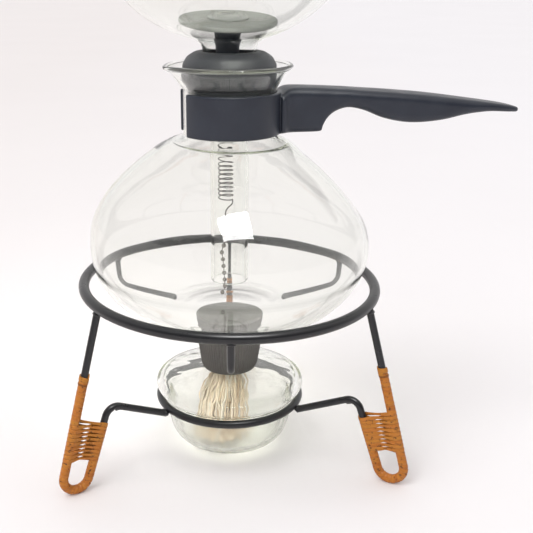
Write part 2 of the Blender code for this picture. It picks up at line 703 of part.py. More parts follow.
def make_lamp(glass, parent):
    """Glass bowl hung by its shoulder, wick holder in its mouth, and the wick."""
    white = make_material("holder_metal", (0.55, 0.55, 0.56), 0.35, metallic=1.0)
    cotton = make_material("cotton", (0.80, 0.68, 0.50), 0.9)
    outer = [(LAMP_FLAT_R, LAMP_LOW_Z)] + LAMP_OUTLINE + [(LAMP_MOUTH_R + 0.0010, 0.0491), (LAMP_MOUTH_R, 0.0500)]
    inner = inset_outline(outer, LAMP_WALL)
    inner[-1] = (LAMP_MOUTH_R - LAMP_WALL, 0.0484)
    bowl = [(0.0, LAMP_LOW_Z)] + outer + [(LAMP_MOUTH_R, LAMP_MOUTH_Z), (LAMP_MOUTH_R - LAMP_WALL, LAMP_MOUTH_Z)]
    bowl += inner[::-1] + [(0.0, LAMP_LOW_Z + LAMP_WALL)]
    add_object("lamp_glass", revolve(bowl, FINE), glass, parent)

    bore = WICK_R + GAP
    neck = LAMP_MOUTH_R - LAMP_WALL - GAP
    seat = LAMP_MOUTH_Z + GAP
    holder = [(bore, 0.0470), (HOLDER_TUBE_R, 0.0470), (HOLDER_TUBE_R, 0.0500), (neck, 0.0500), (neck, seat),
              (HOLDER_R, seat), (HOLDER_R, seat + 0.0022), (HOLDER_TUBE_R, seat + 0.0026),
              (HOLDER_TUBE_R, 0.0660), (bore, 0.0660)]
    add_object("wick_holder", revolve(holder, MEDIUM, closed=True), white, parent)

    wick = [(0.0, 0.0700), (WICK_R * 0.8, 0.0695), (WICK_R, 0.0670), (WICK_R, 0.0260), (0.0070, 0.0215),
            (0.0130, 0.0160), (0.0190, 0.0110), (0.0190, 0.0086), (0.0, 0.0082)]
    add_object("wick", revolve(wick, 16), cotton, parent)


def make_cap(parent):
    """Hollow ribbed cone that covers the wick holder and rests on the bowl's dome."""
    black = make_material("cap_black", (0.05, 0.048, 0.046), 0.5)
    outline = [(CAP_LOW_R - 0.0018, CAP_LOW_Z), (CAP_LOW_R, CAP_LOW_Z + 0.0026),
               (CAP_HIGH_R, CAP_TOP_Z - 0.0016), (CAP_HIGH_R - 0.0012, CAP_TOP_Z), (0.0, CAP_TOP_Z)]
    cavity = [(0.0, CAP_TOP_Z - CAP_WALL), (CAP_HIGH_R - 0.0026, CAP_TOP_Z - CAP_WALL - 0.0006),
              (CAP_LOW_R - 0.0030, CAP_LOW_Z)]
    mesh = revolve(cavity + outline, 2 * CAP_RIBS)
    for vertex in mesh.verts:
        radius = vertex.co.xy.length
        ribbed = CAP_LOW_Z + 0.0010 < vertex.co.z < CAP_TOP_Z - 0.0010 and radius > CAP_HIGH_R - 0.0024
        ribbed = ribbed or (CAP_LOW_Z + 0.0010 < vertex.co.z < CAP_LOW_Z + 0.0030)
        turn = round(math.atan2(vertex.co.y, vertex.co.x) / (math.pi / CAP_RIBS))
        if ribbed and turn % 2:
            vertex.co.xy *= (radius - CAP_RIB_DEPTH) / radius
    add_object("snuffer_cap", mesh, black, parent)


# ---------------------------------------------------------------- the whole object

def main():
    for thing in list(bpy.data.objects):
        bpy.data.objects.remove(thing, do_unlink=True)
    glass = make_material("clear_glass", (0.95, 0.97, 0.95), 0.02, transmission=1.0)
    plastic = make_material("black_plastic", (0.05, 0.055, 0.065), 0.4)
    axis = add_empty("stand_axis")
    axis.location = axis_place()
    pot = add_empty("pot_lift", axis)
    funnel = add_empty("funnel_lift", pot)
    sieve = add_empty("filter_lift", funnel)
    lamp = add_empty("lamp_lift", axis)
    cap = add_empty("cap_lift", lamp)
    make_stand(axis)
    make_pot_glass(glass, pot)
    make_handle(plastic, pot)
    make_funnel_glass(glass, funnel)
    make_gasket(funnel)
    make_filter(sieve)
    make_lamp(glass, lamp)
    make_cap(cap)


main()
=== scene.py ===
"""Looks of the siphon coffee maker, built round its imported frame.

Each solid of the frame is stood for by a finer piece on the same sizes: turned glass, swept
rod, wound cane strip, moulded plastic, coiled wire, loose cotton yarn. Units are metres, +Z up.
Everything turned shares one vertical axis, which the lamp's ring gives.
"""

import math
import random

import bmesh
import bpy
from mathutils import Matrix
from mathutils import Vector
from mathutils import noise


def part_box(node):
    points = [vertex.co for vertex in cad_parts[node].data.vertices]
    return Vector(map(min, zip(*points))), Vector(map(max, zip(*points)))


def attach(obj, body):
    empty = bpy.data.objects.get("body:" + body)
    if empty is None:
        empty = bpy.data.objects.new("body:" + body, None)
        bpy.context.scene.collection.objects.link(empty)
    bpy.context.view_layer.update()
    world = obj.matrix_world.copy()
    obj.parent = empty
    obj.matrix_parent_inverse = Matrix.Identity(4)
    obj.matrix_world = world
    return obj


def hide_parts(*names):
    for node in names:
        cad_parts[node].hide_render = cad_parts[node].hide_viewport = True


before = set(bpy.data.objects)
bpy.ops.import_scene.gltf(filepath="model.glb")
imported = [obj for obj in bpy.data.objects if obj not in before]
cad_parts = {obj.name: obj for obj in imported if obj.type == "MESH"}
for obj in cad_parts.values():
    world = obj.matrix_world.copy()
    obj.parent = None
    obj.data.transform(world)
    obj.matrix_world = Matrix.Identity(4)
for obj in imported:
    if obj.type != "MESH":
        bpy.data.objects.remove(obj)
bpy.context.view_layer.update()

ring_low, ring_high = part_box("lamp_ring")
AXIS = Vector(((ring_low.x + ring_high.x) / 2, (ring_low.y + ring_high.y) / 2, 0.0))

# ---------------------------------------------------------------- sizes, as in the frame

LEG_AZIMUTHS = {"back": 90.0, "left": 213.5, "right": 333.5}
PRONG_AZIMUTHS = {"front": 270.5, "left": 151.0, "right": 30.0}
HANDLE_AZIMUTH = 10.0
SPOUT_AZIMUTH = HANDLE_AZIMUTH + 180.0

RING_R = 0.0783
RING_Z = 0.099
RING_ROD_R = 0.0028
RING_ROLL_DEG = 1.0
LEG_ROD_R = 0.0019
LEG_TOP_R = 0.0794
LEG_SLOPE = 0.272
ELBOW = (0.0752, 0.0457)
ELBOW_BEND_R = 0.006
ARM_END = (0.0425, 0.0309)
FOOT_BEND_R = 0.0072
FOOT_CENTRE = (0.09555, 0.00939)
LAMP_RING_R = 0.0391
LAMP_RING_Z = 0.0324
LAMP_RING_ROD_R = 0.0021
PRONG_ROD_R = 0.0018
PRONG_R = 0.078
PRONG_Z = 0.0806
PRONG_BEND_R = 0.006
PRONG_INNER_R = 0.0355

CANE_TOP_Z = 0.0655
LASHING_TOP = (0.0413, 0.036)
LASHING_FOOT = (0.0188, 0.0158)
STRIP_THICKNESS = 0.00056
STRIP_WIDTH = 0.00262
LASHING_TURNS = 10
# How far each part of a turn drops, in turns: nearly all of it on the inner rod.
LASHING_DROP = {"out": (0.0, 0.04), "to_in": (0.04, 0.08), "in": (0.08, 0.9), "to_out": (0.9, 1.0)}

POT_WALL = 0.0022
POT_BOTTOM_Z = 0.0827
SHOULDER_LEAN = 0.048
SHOULDER_LEAN_LOW_Z = 0.105
SHOULDER_LEAN_HIGH_Z = 0.15
SHOULDER_TOP_Z = 0.1702
POT_NECK_R = 0.0236
NECK_LOW_Z = 0.1796
NECK_HIGH_Z = 0.2018
RIM_R = 0.032
RIM_BEAD_R = 0.0012
RIM_Z = 0.215
SPOUT_REACH = 0.002
SPOUT_SPREAD_DEG = 20.0

BAND_INNER_R = 0.024
BAND_OUTER_R = 0.0262
BAND_LOW_Z = 0.1801
BAND_HIGH_Z = 0.2015
BAND_SPLIT_DEG = 48.0
# Along the grip: distance from the axis, half width, underside, top.
GRIP = [
    (0.0245, 0.0128, 0.1804, 0.2012),
    (0.0262, 0.0126, 0.1804, 0.2014),
    (0.031, 0.01, 0.1804, 0.2034),
    (0.0455, 0.0098, 0.1805, 0.203),
    (0.0468, 0.0098, 0.1822, 0.2029),
    (0.0492, 0.0098, 0.1866, 0.2028),
    (0.0535, 0.0099, 0.1904, 0.2025),
    (0.0605, 0.0101, 0.1924, 0.202),
    (0.069, 0.0104, 0.1908, 0.2013),
    (0.079, 0.0107, 0.1868, 0.2006),
    (0.09, 0.011, 0.1843, 0.1996),
    (0.101, 0.0111, 0.1838, 0.1985),
    (0.113, 0.0108, 0.1848, 0.197),
    (0.125, 0.0102, 0.187, 0.1952),
    (0.138, 0.009, 0.1882, 0.1932),
    (0.149, 0.0074, 0.1876, 0.1914),
    (0.155, 0.0055, 0.1872, 0.19),
    (0.1567, 0.0036, 0.1875, 0.1892),
]
GRIP_EDGE_R = 0.0034

FUNNEL_WALL = 0.0016
STEM_R = 0.01
STEM_LOW_Z = 0.1
STEM_HIGH_Z = 0.198
FUNNEL_NECK_R = 0.0134
FUNNEL_NECK_LOW_Z = 0.2085
FUNNEL_NECK_HIGH_Z = 0.2213
GLOBE_R = 0.0625
GLOBE_Z = 0.277
GLOBE_DROP = 0.052
GLOBE_RISE = 0.047
GLOBE_FOOT_R = 0.018
GLOBE_SHIFT_X = -0.0017
GLOBE_SHIFT_LOW_Z = 0.2215
GLOBE_SHIFT_HIGH_Z = 0.232
MOUTH_R = 0.04
MOUTH_RIM_R = 0.0416
FUNNEL_TOP_Z = 0.325
GASKET_BORE_R = 0.0137
GASKET_R = 0.0237

FILTER_X = -0.0007
FILTER_Z = 0.2352
FILTER_LEAN_DEG = 5.9
FILTER_ROLL_DEG = 1.4
FILTER_R = 0.0246
FILTER_THICKNESS = 0.0014
MESH_LOW = 0.001
BUTTON_R = 0.0102
PLUG_FLANGE_R = 0.011
PLUG_TOP_R = 0.007
PLUG_END_R = 0.006
PLUG_LENGTH = 0.03
SPRING_R = 0.00385
SPRING_WIRE_R = 0.0003
SPRING_X = -0.0021
SPRING_Y = 0.0012
SPRING_TOP_Z = 0.2035
SPRING_OPEN_END_Z = 0.164
SPRING_LOW_Z = 0.1443
SPRING_OPEN_TURNS = 9
SPRING_CLOSE_TURNS = 9
LINK_LOW_Z = 0.133
BEAD_R = 0.0012
BEAD_PITCH = 0.004
CHAIN_WIRE_R = 0.00032
CHAIN_ROUTE = [(-0.002, 0.1322), (-0.0022, 0.126), (-0.0028, 0.12), (-0.0042, 0.116),
        (-0.0037, 0.112), (-0.0032, 0.106), (-0.0026, 0.098), (-0.0027, 0.094),
        (-0.0045, 0.0905)]

LAMP_WALL = 0.0022
LAMP_LOW_Z = 0.0058
LAMP_HAZE = 0.23
LAMP_HAZE_TOP_Z = 0.03
LAMP_MOUTH_R = 0.0116
LAMP_MOUTH_Z = 0.054
HOLDER_R = 0.011
HOLDER_TUBE_R = 0.0046
WICK_R = 0.0032
WICK_STRANDS = 320
WICK_CHARRED = (5, 17, 41)
WICK_CHARRED_DEG = 205.0
WICK_FAN_DEG = 225.0
WICK_FAN_SPREAD_DEG = 60.0
WICK_FAN_Z = 0.048
WICK_DROP = 0.038
# How far the whole bunch swings to the side by its foot, in X and Y.
WICK_SWING = (-0.0055, -0.003)
# Down a strand: height, and how much of its reach it has there.
WICK_ROUTE = ((0.045, 0.42), (0.0395, 0.66), (0.032, 0.88), (0.022, 1.0), (0.014, 1.0))
WICK_END_R = 0.026
WICK_END_Z = 0.0104
CAP_LOW_R = 0.0158
CAP_HIGH_R = 0.0192
CAP_LOW_Z = 0.0492
CAP_TOP_Z = 0.078
CAP_RIBS = 72
CAP_RIB_DEPTH = 0.00042

ROUND = 144
SMALL_ROUND = 72

GLASS_IOR = 1.47
GLASS_SHADOW = (0.935, 0.94, 0.925, 1.0)
# Turns a height in metres into a ramp's range.
HAZE_SCALE = 12.0


# ---------------------------------------------------------------- curves

def smooth(points, steps):
    """Catmull-Rom curve through the points, in the given number of steps between two."""
    ends = [points[0]] + list(points) + [points[-1]]
    curve = []
    for i in range(1, len(ends) - 2):
        for step in range(steps):
            t = step / steps
            curve.append(tuple(
                0.5 * (2 * b + (c - a) * t + (2 * a - 5 * b + 4 * c - d) * t * t
                       + (3 * b - a - 3 * c + d) * t ** 3)
                for a, b, c, d in zip(ends[i - 1], ends[i], ends[i + 1], ends[i + 2])))
    return curve + [tuple(points[-1])]


def run(start, end, steps):
    """Straight run of points, closer together at its ends."""
    return [tuple(a + (b - a) * (0.5 - 0.5 * math.cos(math.pi * i / steps)) for a, b in zip(start, end))
            for i in range(steps + 1)]


def arc(centre, radius, start_deg, end_deg, steps):
    """Points along an arc, both ends included."""
    angles = [math.radians(start_deg + (end_deg - start_deg) * i / steps) for i in range(steps + 1)]
    return [(centre[0] + radius * math.cos(a), centre[1] + radius * math.sin(a)) for a in angles]


def fillet(before, corner, after, radius, steps):
    """Arc that rounds the corner between two straight runs."""
    corner = Vector(corner)
    into = (Vector(before) - corner).normalized()
    out = (Vector(after) - corner).normalized()
    half = into.angle(out) / 2
    centre = corner + (into + out).normalized() * radius / math.sin(half)
    tangent = radius / math.tan(half)
    first = corner + into * tangent - centre
    last = corner + out * tangent - centre
    turn = first.angle_signed(last)
    return [tuple(centre + Matrix.Rotation(-turn * i / steps, 2) @ first) for i in range(steps + 1)]


def rounded(corners, steps=5):
    """Outline from (radius, height, rounding) corners; a rounding of 0 stays sharp."""
    outline = []
    last = len(corners) - 1
    for i, (r, z, rounding) in enumerate(corners):
        if rounding <= 0 or i in (0, last):
            outline.append((r, z))
        else:
            outline += fillet(corners[i - 1][:2], (r, z), corners[i + 1][:2], rounding, steps)
    return outline


def inset(outline, wall):
    """The outline moved inwards by the wall's thickness."""
    moved = []
    last = len(outline) - 1
    for i, point in enumerate(outline):
        before = Vector(outline[max(i - 1, 0)])
        after = Vector(outline[min(i + 1, last)])
        along = (after - before).normalized()
        moved.append((max(point[0] - along[1] * wall, 0.0), point[1] + along[0] * wall))
    return moved


def lengths(points):
    """Distance travelled to each point of a path."""
    travelled = [0.0]
    for a, b in zip(points, points[1:]):
        travelled.append(travelled[-1] + (Vector(b) - Vector(a)).length)
    return travelled


def at_distance(points, travelled, distance):
    """Point of a path at a distance along it, and the direction there."""
    i = 1
    while i < len(points) - 1 and travelled[i] < distance:
        i += 1
    a, b = Vector(points[i - 1]), Vector(points[i])
    share = (distance - travelled[i - 1]) / max(travelled[i] - travelled[i - 1], 1e-9)
    return a.lerp(b, share), (b - a).normalized()


# ---------------------------------------------------------------- meshes

def bridge(mesh, ring, following, closed=True):
    """Faces between two rings of vertices; a ring of one vertex is a pole."""
    count = max(len(ring), len(following))
    for i in range(count if closed else count - 1):
        j = (i + 1) % count
        if len(ring) == 1:
            mesh.faces.new((ring[0], following[i], following[j]))
        elif len(following) == 1:
            mesh.faces.new((ring[i], ring[j], following[0]))
        else:
            mesh.faces.new((ring[i], ring[j], following[j], following[i]))


def turn(mesh, outline, steps, closed=False):
    """Adds a turned shape to the mesh. The outline is (radius, height)."""
    rings = []
    for radius, height in outline:
        if radius < 1e-7:
            rings.append([mesh.verts.new((0.0, 0.0, height))])
            continue
        rings.append([mesh.verts.new((radius * math.cos(2 * math.pi * i / steps),
                radius * math.sin(2 * math.pi * i / steps), height))
                for i in range(steps)])
    for ring, following in zip(rings, rings[1:]):
        bridge(mesh, ring, following)
    if closed:
        bridge(mesh, rings[-1], rings[0])
    return [v for ring in rings for v in ring]


def tag_layers(mesh):
    """The mesh's layers for tone and for place along a strand, made if missing."""
    tone = mesh.verts.layers.float.get("tone") or mesh.verts.layers.float.new("tone")
    along = mesh.loops.layers.uv.get("along") or mesh.loops.layers.uv.new("along")
    return tone, along


def skin(mesh, rings, travelled, uv):
    """Faces round a run of rings, with the way round and the way along as UV, and both ends closed."""
    sides = len(rings[0])
    for i, (ring, following) in enumerate(zip(rings, rings[1:])):
        for k in range(sides):
            j = (k + 1) % sides
            face = mesh.faces.new((ring[k], ring[j], following[j], following[k]))
            spots = ((k, i), (k + 1, i), (k + 1, i + 1), (k, i + 1))
            for loop, (around, along) in zip(face.loops, spots):
                loop[uv].uv = (around / sides, travelled[along])
    mesh.faces.new(rings[0])
    mesh.faces.new(rings[-1])


def tube(mesh, path, radii, sides, first_normal=(1.0, 0.0, 0.0), tone=0.0):
    """Adds a round tube along a path to the mesh, closed at both ends."""
    points = [Vector(p) for p in path]
    normal = Vector(first_normal)
    layer, uv = tag_layers(mesh)
    rings = []
    for i, point in enumerate(points):
        before = points[max(i - 1, 0)]
        after = points[min(i + 1, len(points) - 1)]
        tangent = ((after - point).normalized() + (point - before).normalized()).normalized()
        normal = (normal - tangent * normal.dot(tangent)).normalized()
        side = tangent.cross(normal)
        radius = radii[i] if isinstance(radii, (list, tuple)) else radii
        ring = []
        for k in range(sides):
            angle = 2 * math.pi * k / sides
            vertex = mesh.verts.new(point + (normal * math.cos(angle) + side * math.sin(angle)) * radius)
            vertex[layer] = tone
            ring.append(vertex)
        rings.append(ring)
    skin(mesh, rings, lengths(points), uv)


def strip(mesh, path, across, widths, thickness, tone):
    """Adds a flat strip with rounded edges. across gives the width's direction at each point."""
    layer, uv = tag_layers(mesh)
    section = [(-0.5, 0.0), (-0.46, 0.36), (-0.25, 0.52), (0.0, 0.58), (0.25, 0.52), (0.46, 0.36),
            (0.5, 0.0), (0.42, -0.42), (0.0, -0.48), (-0.42, -0.42)]
    travelled = lengths(path)
    rings = []
    for i, point in enumerate(path):
        before = Vector(path[max(i - 1, 0)])
        after = Vector(path[min(i + 1, len(path) - 1)])
        tangent = (after - before).normalized()
        wide = (across[i] - tangent * across[i].dot(tangent)).normalized()
        out = tangent.cross(wide)
        ring = []
        for a, b in section:
            vertex = mesh.verts.new(Vector(point) + wide * a * widths[i] + out * b * thickness)
            vertex[layer] = tone(travelled[i]) if callable(tone) else tone
            ring.append(vertex)
        rings.append(ring)
    skin(mesh, rings, travelled, uv)


def blob(mesh, place, size, seed, roughness=0.16):
    """Adds a small lump, as a weld leaves, squashed to the given half sizes."""
    shift = Vector((seed * 3.1, seed * 1.7, seed * 2.3))
    made = bmesh.ops.create_icosphere(mesh, subdivisions=3, radius=1.0)
    for vertex in made["verts"]:
        push = 1.0 + roughness * noise.noise(vertex.co * 1.6 + shift)
        vertex.co = Vector(place) + Vector(a * b * push for a, b in zip(vertex.co, size))


def add_piece(name, mesh, material, body, nodes, slot, azimuth=0.0, sharp_deg=48.0):
    """Makes the mesh a piece on the common axis that rides on a body and stands for CAD nodes."""
    bmesh.ops.recalc_face_normals(mesh, faces=mesh.faces)
    data = bpy.data.meshes.new(name)
    mesh.to_mesh(data)
    mesh.free()
    data.shade_smooth()
    data.set_sharp_from_angle(angle=math.radians(sharp_deg))
    data.materials.append(material)
    piece = bpy.data.objects.new(name, data)
    bpy.context.scene.collection.objects.link(piece)
    piece.location = AXIS
    piece.rotation_euler = (0.0, 0.0, math.radians(azimuth))
    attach(piece, body)
    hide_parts(*nodes)


# ---------------------------------------------------------------- materials

def new_material(name):
    """Empty node material with a Principled shader; returns its tree and the shader."""
    material = bpy.data.materials.new(name)
    material.use_nodes = True
    tree = material.node_tree
    return material, tree, tree.nodes["Principled BSDF"]


def add_node(tree, kind, links=(), **settings):
    """Node with some inputs set by name and some linked, given as (input name, socket)."""
    node = tree.nodes.new(kind)
    for name, value in settings.items():
        node.inputs[name].default_value = value
    for name, source in links:
        tree.links.new(source, node.inputs[name])
    return node


def object_place(tree, stretch=(1.0, 1.0, 1.0)):
    """Place on the piece in metres, stretched."""
    place = tree.nodes.new("ShaderNodeTexCoord").outputs["Object"]
    return add_node(tree, "ShaderNodeMapping", [("Vector", place)], Scale=stretch).outputs["Vector"]


def along_place(tree, stretch):
    """Place round and along a strip or tube, stretched."""
    coordinates = tree.nodes.new("ShaderNodeUVMap")
    coordinates.uv_map = "along"
    links = [("Vector", coordinates.outputs["UV"])]
    return add_node(tree, "ShaderNodeMapping", links, Scale=stretch).outputs["Vector"]


def grain(tree, place, scale, detail=3.0, roughness=0.55):
    """Noise between 0 and 1."""
    return add_node(tree, "ShaderNodeTexNoise", [("Vector", place)], Scale=scale, Detail=detail,
            Roughness=roughness).outputs["Fac"]


def ramp(tree, source, stops):
    """Colour or grey value by stops of (position, value)."""
    node = tree.nodes.new("ShaderNodeValToRGB")
    elements = node.color_ramp.elements
    while len(elements) < len(stops):
        elements.new(0.5)
    for element, (position, value) in zip(elements, stops):
        element.position = position
        element.color = (*value, 1.0) if isinstance(value, tuple) else (value, value, value, 1.0)
    tree.links.new(source, node.inputs["Fac"])
    return node.outputs["Color"]


def blend_colors(tree, share, first, second, kind="MIX"):
    """Mix of two colours; share is a socket or a number."""
    node = tree.nodes.new("ShaderNodeMix")
    node.data_type = "RGBA"
    node.blend_type = kind
    for socket, value in (("Factor", share), ("A", first), ("B", second)):
        target = next(s for s in node.inputs if s.name == socket and s.enabled)
        if isinstance(value, bpy.types.NodeSocket):
            tree.links.new(value, target)
        else:
            target.default_value = (*value, 1.0) if isinstance(value, tuple) else value
    return next(s for s in node.outputs if s.enabled)


def calculate(tree, operation, first, second):
    """Sum, product or the like of two sockets or numbers."""
    node = tree.nodes.new("ShaderNodeMath")
    node.operation = operation
    node.inputs[2].default_value = 0.5
    for socket, value in zip(node.inputs, (first, second)):
        if isinstance(value, bpy.types.NodeSocket):
            tree.links.new(value, socket)
        else:
            socket.default_value = value
    return node.outputs["Value"]


def bump(tree, shader, height, distance, strength=1.0):
    """Bump on the shader, by a height socket and the height's size in metres."""
    node = add_node(tree, "ShaderNodeBump", [("Height", height)], Strength=strength, Distance=distance)
    tree.links.new(node.outputs["Normal"], shader.inputs["Normal"])


def tone_of(tree):
    """The tone stored with each strand or turn."""
    node = tree.nodes.new("ShaderNodeAttribute")
    node.attribute_name = "tone"
    return node.outputs["Fac"]


def glass_material(name, color, absorb_color, density, smudge, wave=0.00005, ripple=26.0, haze_top=None):
    """Clear glass: slightly wavy, faintly smudged, tinted by its thickness, and hazy below a height."""
    material, tree, shader = new_material(name)
    shader.inputs["Base Color"].default_value = (*color, 1.0)
    shader.inputs["Transmission Weight"].default_value = 1.0
    shader.inputs["IOR"].default_value = GLASS_IOR
    place = object_place(tree)
    waves = grain(tree, place, ripple, 1.0)
    bump(tree, shader, waves, wave, 0.5)
    film = grain(tree, object_place(tree, (1.0, 1.0, 0.55)), 60.0, 5.0, 0.65)
    rough = ramp(tree, film, [(0.45, 0.0), (0.8, smudge)])
    if haze_top:
        split = add_node(tree, "ShaderNodeSeparateXYZ", [("Vector", place)])
        middle = 0.5 + HAZE_SCALE * haze_top
        level = calculate(tree, "MULTIPLY_ADD", split.outputs["Z"], HAZE_SCALE)
        haze = ramp(tree, level, [(middle - 0.05, LAMP_HAZE), (middle + 0.02, 0.0)])
        rough = calculate(tree, "ADD", rough, haze)
    tree.links.new(rough, shader.inputs["Roughness"])
    output = tree.nodes["Material Output"]
    absorption = add_node(tree, "ShaderNodeVolumeAbsorption", Color=(*absorb_color, 1.0), Density=density)
    tree.links.new(absorption.outputs["Volume"], output.inputs["Volume"])
    clear = add_node(tree, "ShaderNodeBsdfTransparent", Color=GLASS_SHADOW)
    path = tree.nodes.new("ShaderNodeLightPath")
    mixer = add_node(tree, "ShaderNodeMixShader", [("Fac", path.outputs["Is Shadow Ray"])])
    tree.links.new(shader.outputs["BSDF"], mixer.inputs[1])
    tree.links.new(clear.outputs["BSDF"], mixer.inputs[2])
    tree.links.new(mixer.outputs["Shader"], output.inputs["Surface"])
    return material


def moulded_material(name, dark, light, rough_low, rough_high, pebble, dust=None, gloss=0.5):
    """Moulded plastic, rubber or paint: mottled colour and gloss, and a fine pebbled skin."""
    material, tree, shader = new_material(name)
    place = object_place(tree)
    cloud = grain(tree, place, 75.0, 4.0)
    color = ramp(tree, cloud, [(0.3, dark), (0.72, light)])
    if dust:
        specks = grain(tree, place, 900.0, 2.0, 0.5)
        share = ramp(tree, specks, [(0.66, 0.0), (0.78, 0.3)])
        color = blend_colors(tree, share, color, dust)
    tree.links.new(color, shader.inputs["Base Color"])
    streaks = grain(tree, place, 150.0, 5.0, 0.6)
    rough = ramp(tree, streaks, [(0.3, rough_low), (0.75, rough_high)])
    tree.links.new(rough, shader.inputs["Roughness"])
    shader.inputs["Specular IOR Level"].default_value = gloss
    bump(tree, shader, grain(tree, place, 2600.0, 2.0), pebble, 0.5)
    return material


def cane_material():
    """Split cane, varnished: long fibres, lighter and darker strips, dark nicks, and one near-black band that
    is painted shadow.
    """
    material, tree, shader = new_material("cane_varnished")
    fibres = grain(tree, along_place(tree, (26.0, 108.0, 1.0)), 1.0, 5.0, 0.62)
    warm = ramp(tree, fibres, [(0.22, (0.2, 0.055, 0.008)), (0.46, (0.44, 0.148, 0.022)),
            (0.66, (0.57, 0.208, 0.036)), (0.9, (0.69, 0.31, 0.065))])
    # Tone 0 is the near-black band under the top collar, a painted shadow; the other tones vary at random by
    # turn.
    tone = ramp(tree, tone_of(tree), [(0.0, (0.04, 0.018, 0.01)), (0.06, (0.42, 0.128, 0.02)),
            (0.5, (0.52, 0.185, 0.03)), (1.0, (0.5, 0.22, 0.03))])
    color = blend_colors(tree, 0.52, warm, tone)
    nicks = grain(tree, along_place(tree, (3.5, 420.0, 1.0)), 1.0, 3.0, 0.7)
    nicked = ramp(tree, nicks, [(0.575, 0.0), (0.64, 0.85)])
    color = blend_colors(tree, nicked, color, (0.05, 0.025, 0.012))
    tree.links.new(color, shader.inputs["Base Color"])
    tree.links.new(ramp(tree, fibres, [(0.2, 0.52), (0.8, 0.36)]), shader.inputs["Roughness"])
    shader.inputs["Specular IOR Level"].default_value = 0.28
    bump(tree, shader, fibres, 0.00009, 0.8)
    return material


def steel_material(name, bright, stained, stain_from):
    """Steel wire: fine drawing marks and brown coffee stain."""
    material, tree, shader = new_material(name)
    place = object_place(tree)
    marks = grain(tree, object_place(tree, (1.0, 1.0, 0.2)), 3000.0, 3.0)
    stain = grain(tree, place, 420.0, 4.0, 0.6)
    share = ramp(tree, stain, [(stain_from, 0.0), (stain_from + 0.16, 1.0)])
    tree.links.new(blend_colors(tree, share, bright, stained), shader.inputs["Base Color"])
    shader.inputs["Metallic"].default_value = 1.0
    tree.links.new(ramp(tree, marks, [(0.3, 0.1), (0.8, 0.26)]), shader.inputs["Roughness"])
    bump(tree, shader, marks, 0.00002, 0.4)
    return material


def mesh_cloth_material():
    """Fine woven filter mesh: threads both ways."""
    material, tree, shader = new_material("filter_weave")
    waves = []
    for direction in ("X", "Y"):
        place = object_place(tree)
        node = add_node(tree, "ShaderNodeTexWave", [("Vector", place)], Scale=620.0, Distortion=0.4)
        node.bands_direction = direction
        waves.append(node.outputs["Fac"])
    weave = calculate(tree, "MAXIMUM", waves[0], waves[1])
    cloud = grain(tree, object_place(tree), 110.0, 4.0)
    clean = ramp(tree, weave, [(0.25, (0.125, 0.13, 0.12)), (0.85, (0.235, 0.245, 0.225))])
    stained = ramp(tree, weave, [(0.25, (0.105, 0.1, 0.085)), (0.85, (0.2, 0.2, 0.175))])
    share = ramp(tree, cloud, [(0.42, 0.0), (0.7, 0.8)])
    tree.links.new(blend_colors(tree, share, clean, stained), shader.inputs["Base Color"])
    shader.inputs["Roughness"].default_value = 0.62
    bump(tree, shader, weave, 0.0001, 0.7)
    return material


def cotton_material():
    """Cotton yarn: twisted plies, cream to brown by strand, charred near the top."""
    material, tree, shader = new_material("cotton_yarn")
    tone = ramp(tree, tone_of(tree), [(0.0, (0.93, 0.87, 0.77)), (0.5, (0.93, 0.77, 0.59)),
            (0.8, (0.72, 0.52, 0.34)), (1.0, (0.16, 0.12, 0.1))])
    fibres = grain(tree, along_place(tree, (9.0, 700.0, 1.0)), 1.0, 4.0, 0.65)
    shade = ramp(tree, fibres, [(0.25, 0.66), (0.75, 1.0)])
    color = blend_colors(tree, 1.0, tone, shade, "MULTIPLY")
    tree.links.new(color, shader.inputs["Base Color"])
    shader.inputs["Roughness"].default_value = 0.92
    shader.inputs["Sheen Weight"].default_value = 0.35
    bump(tree, shader, fibres, 0.0002, 0.8)
    return material


# ---------------------------------------------------------------- the stand

SIDEWAYS = Vector((0.0, 1.0, 0.0))


def flat(path):
    """A (distance out, height) path as points of the plane through the axis."""
    return [(r, 0.0, z) for r, z in path]


def ring_height(azimuth):
    """Height of the pot ring's middle line, which leans a little to the right."""
    return RING_Z - RING_R * math.cos(math.radians(azimuth)) * math.tan(math.radians(RING_ROLL_DEG))


def outer_rod(height):
    """Point of a leg's straight outer rod at a height."""
    return (LEG_TOP_R + (RING_Z - RING_ROD_R - height) * LEG_SLOPE, height)


def foot_bend(steps):
    """The foot's bend from the outer rod round to the inner one."""
    centre = Vector(FOOT_CENTRE)
    away = Vector(ELBOW) - centre
    lean = math.degrees(math.acos(FOOT_BEND_R / away.length))
    end = math.degrees(math.atan2(away.y, away.x)) + lean - 360.0
    return arc(FOOT_CENTRE, FOOT_BEND_R, math.degrees(math.atan2(LEG_SLOPE, 1.0)), end, steps)


def inner_rod(height):
    """Point of a leg's inner rod, between the foot's bend and the elbow, at a height."""
    a = foot_bend(24)[-1]
    t = (height - a[1]) / (ELBOW[1] - a[1])
    return (a[0] + (ELBOW[0] - a[0]) * t, height)


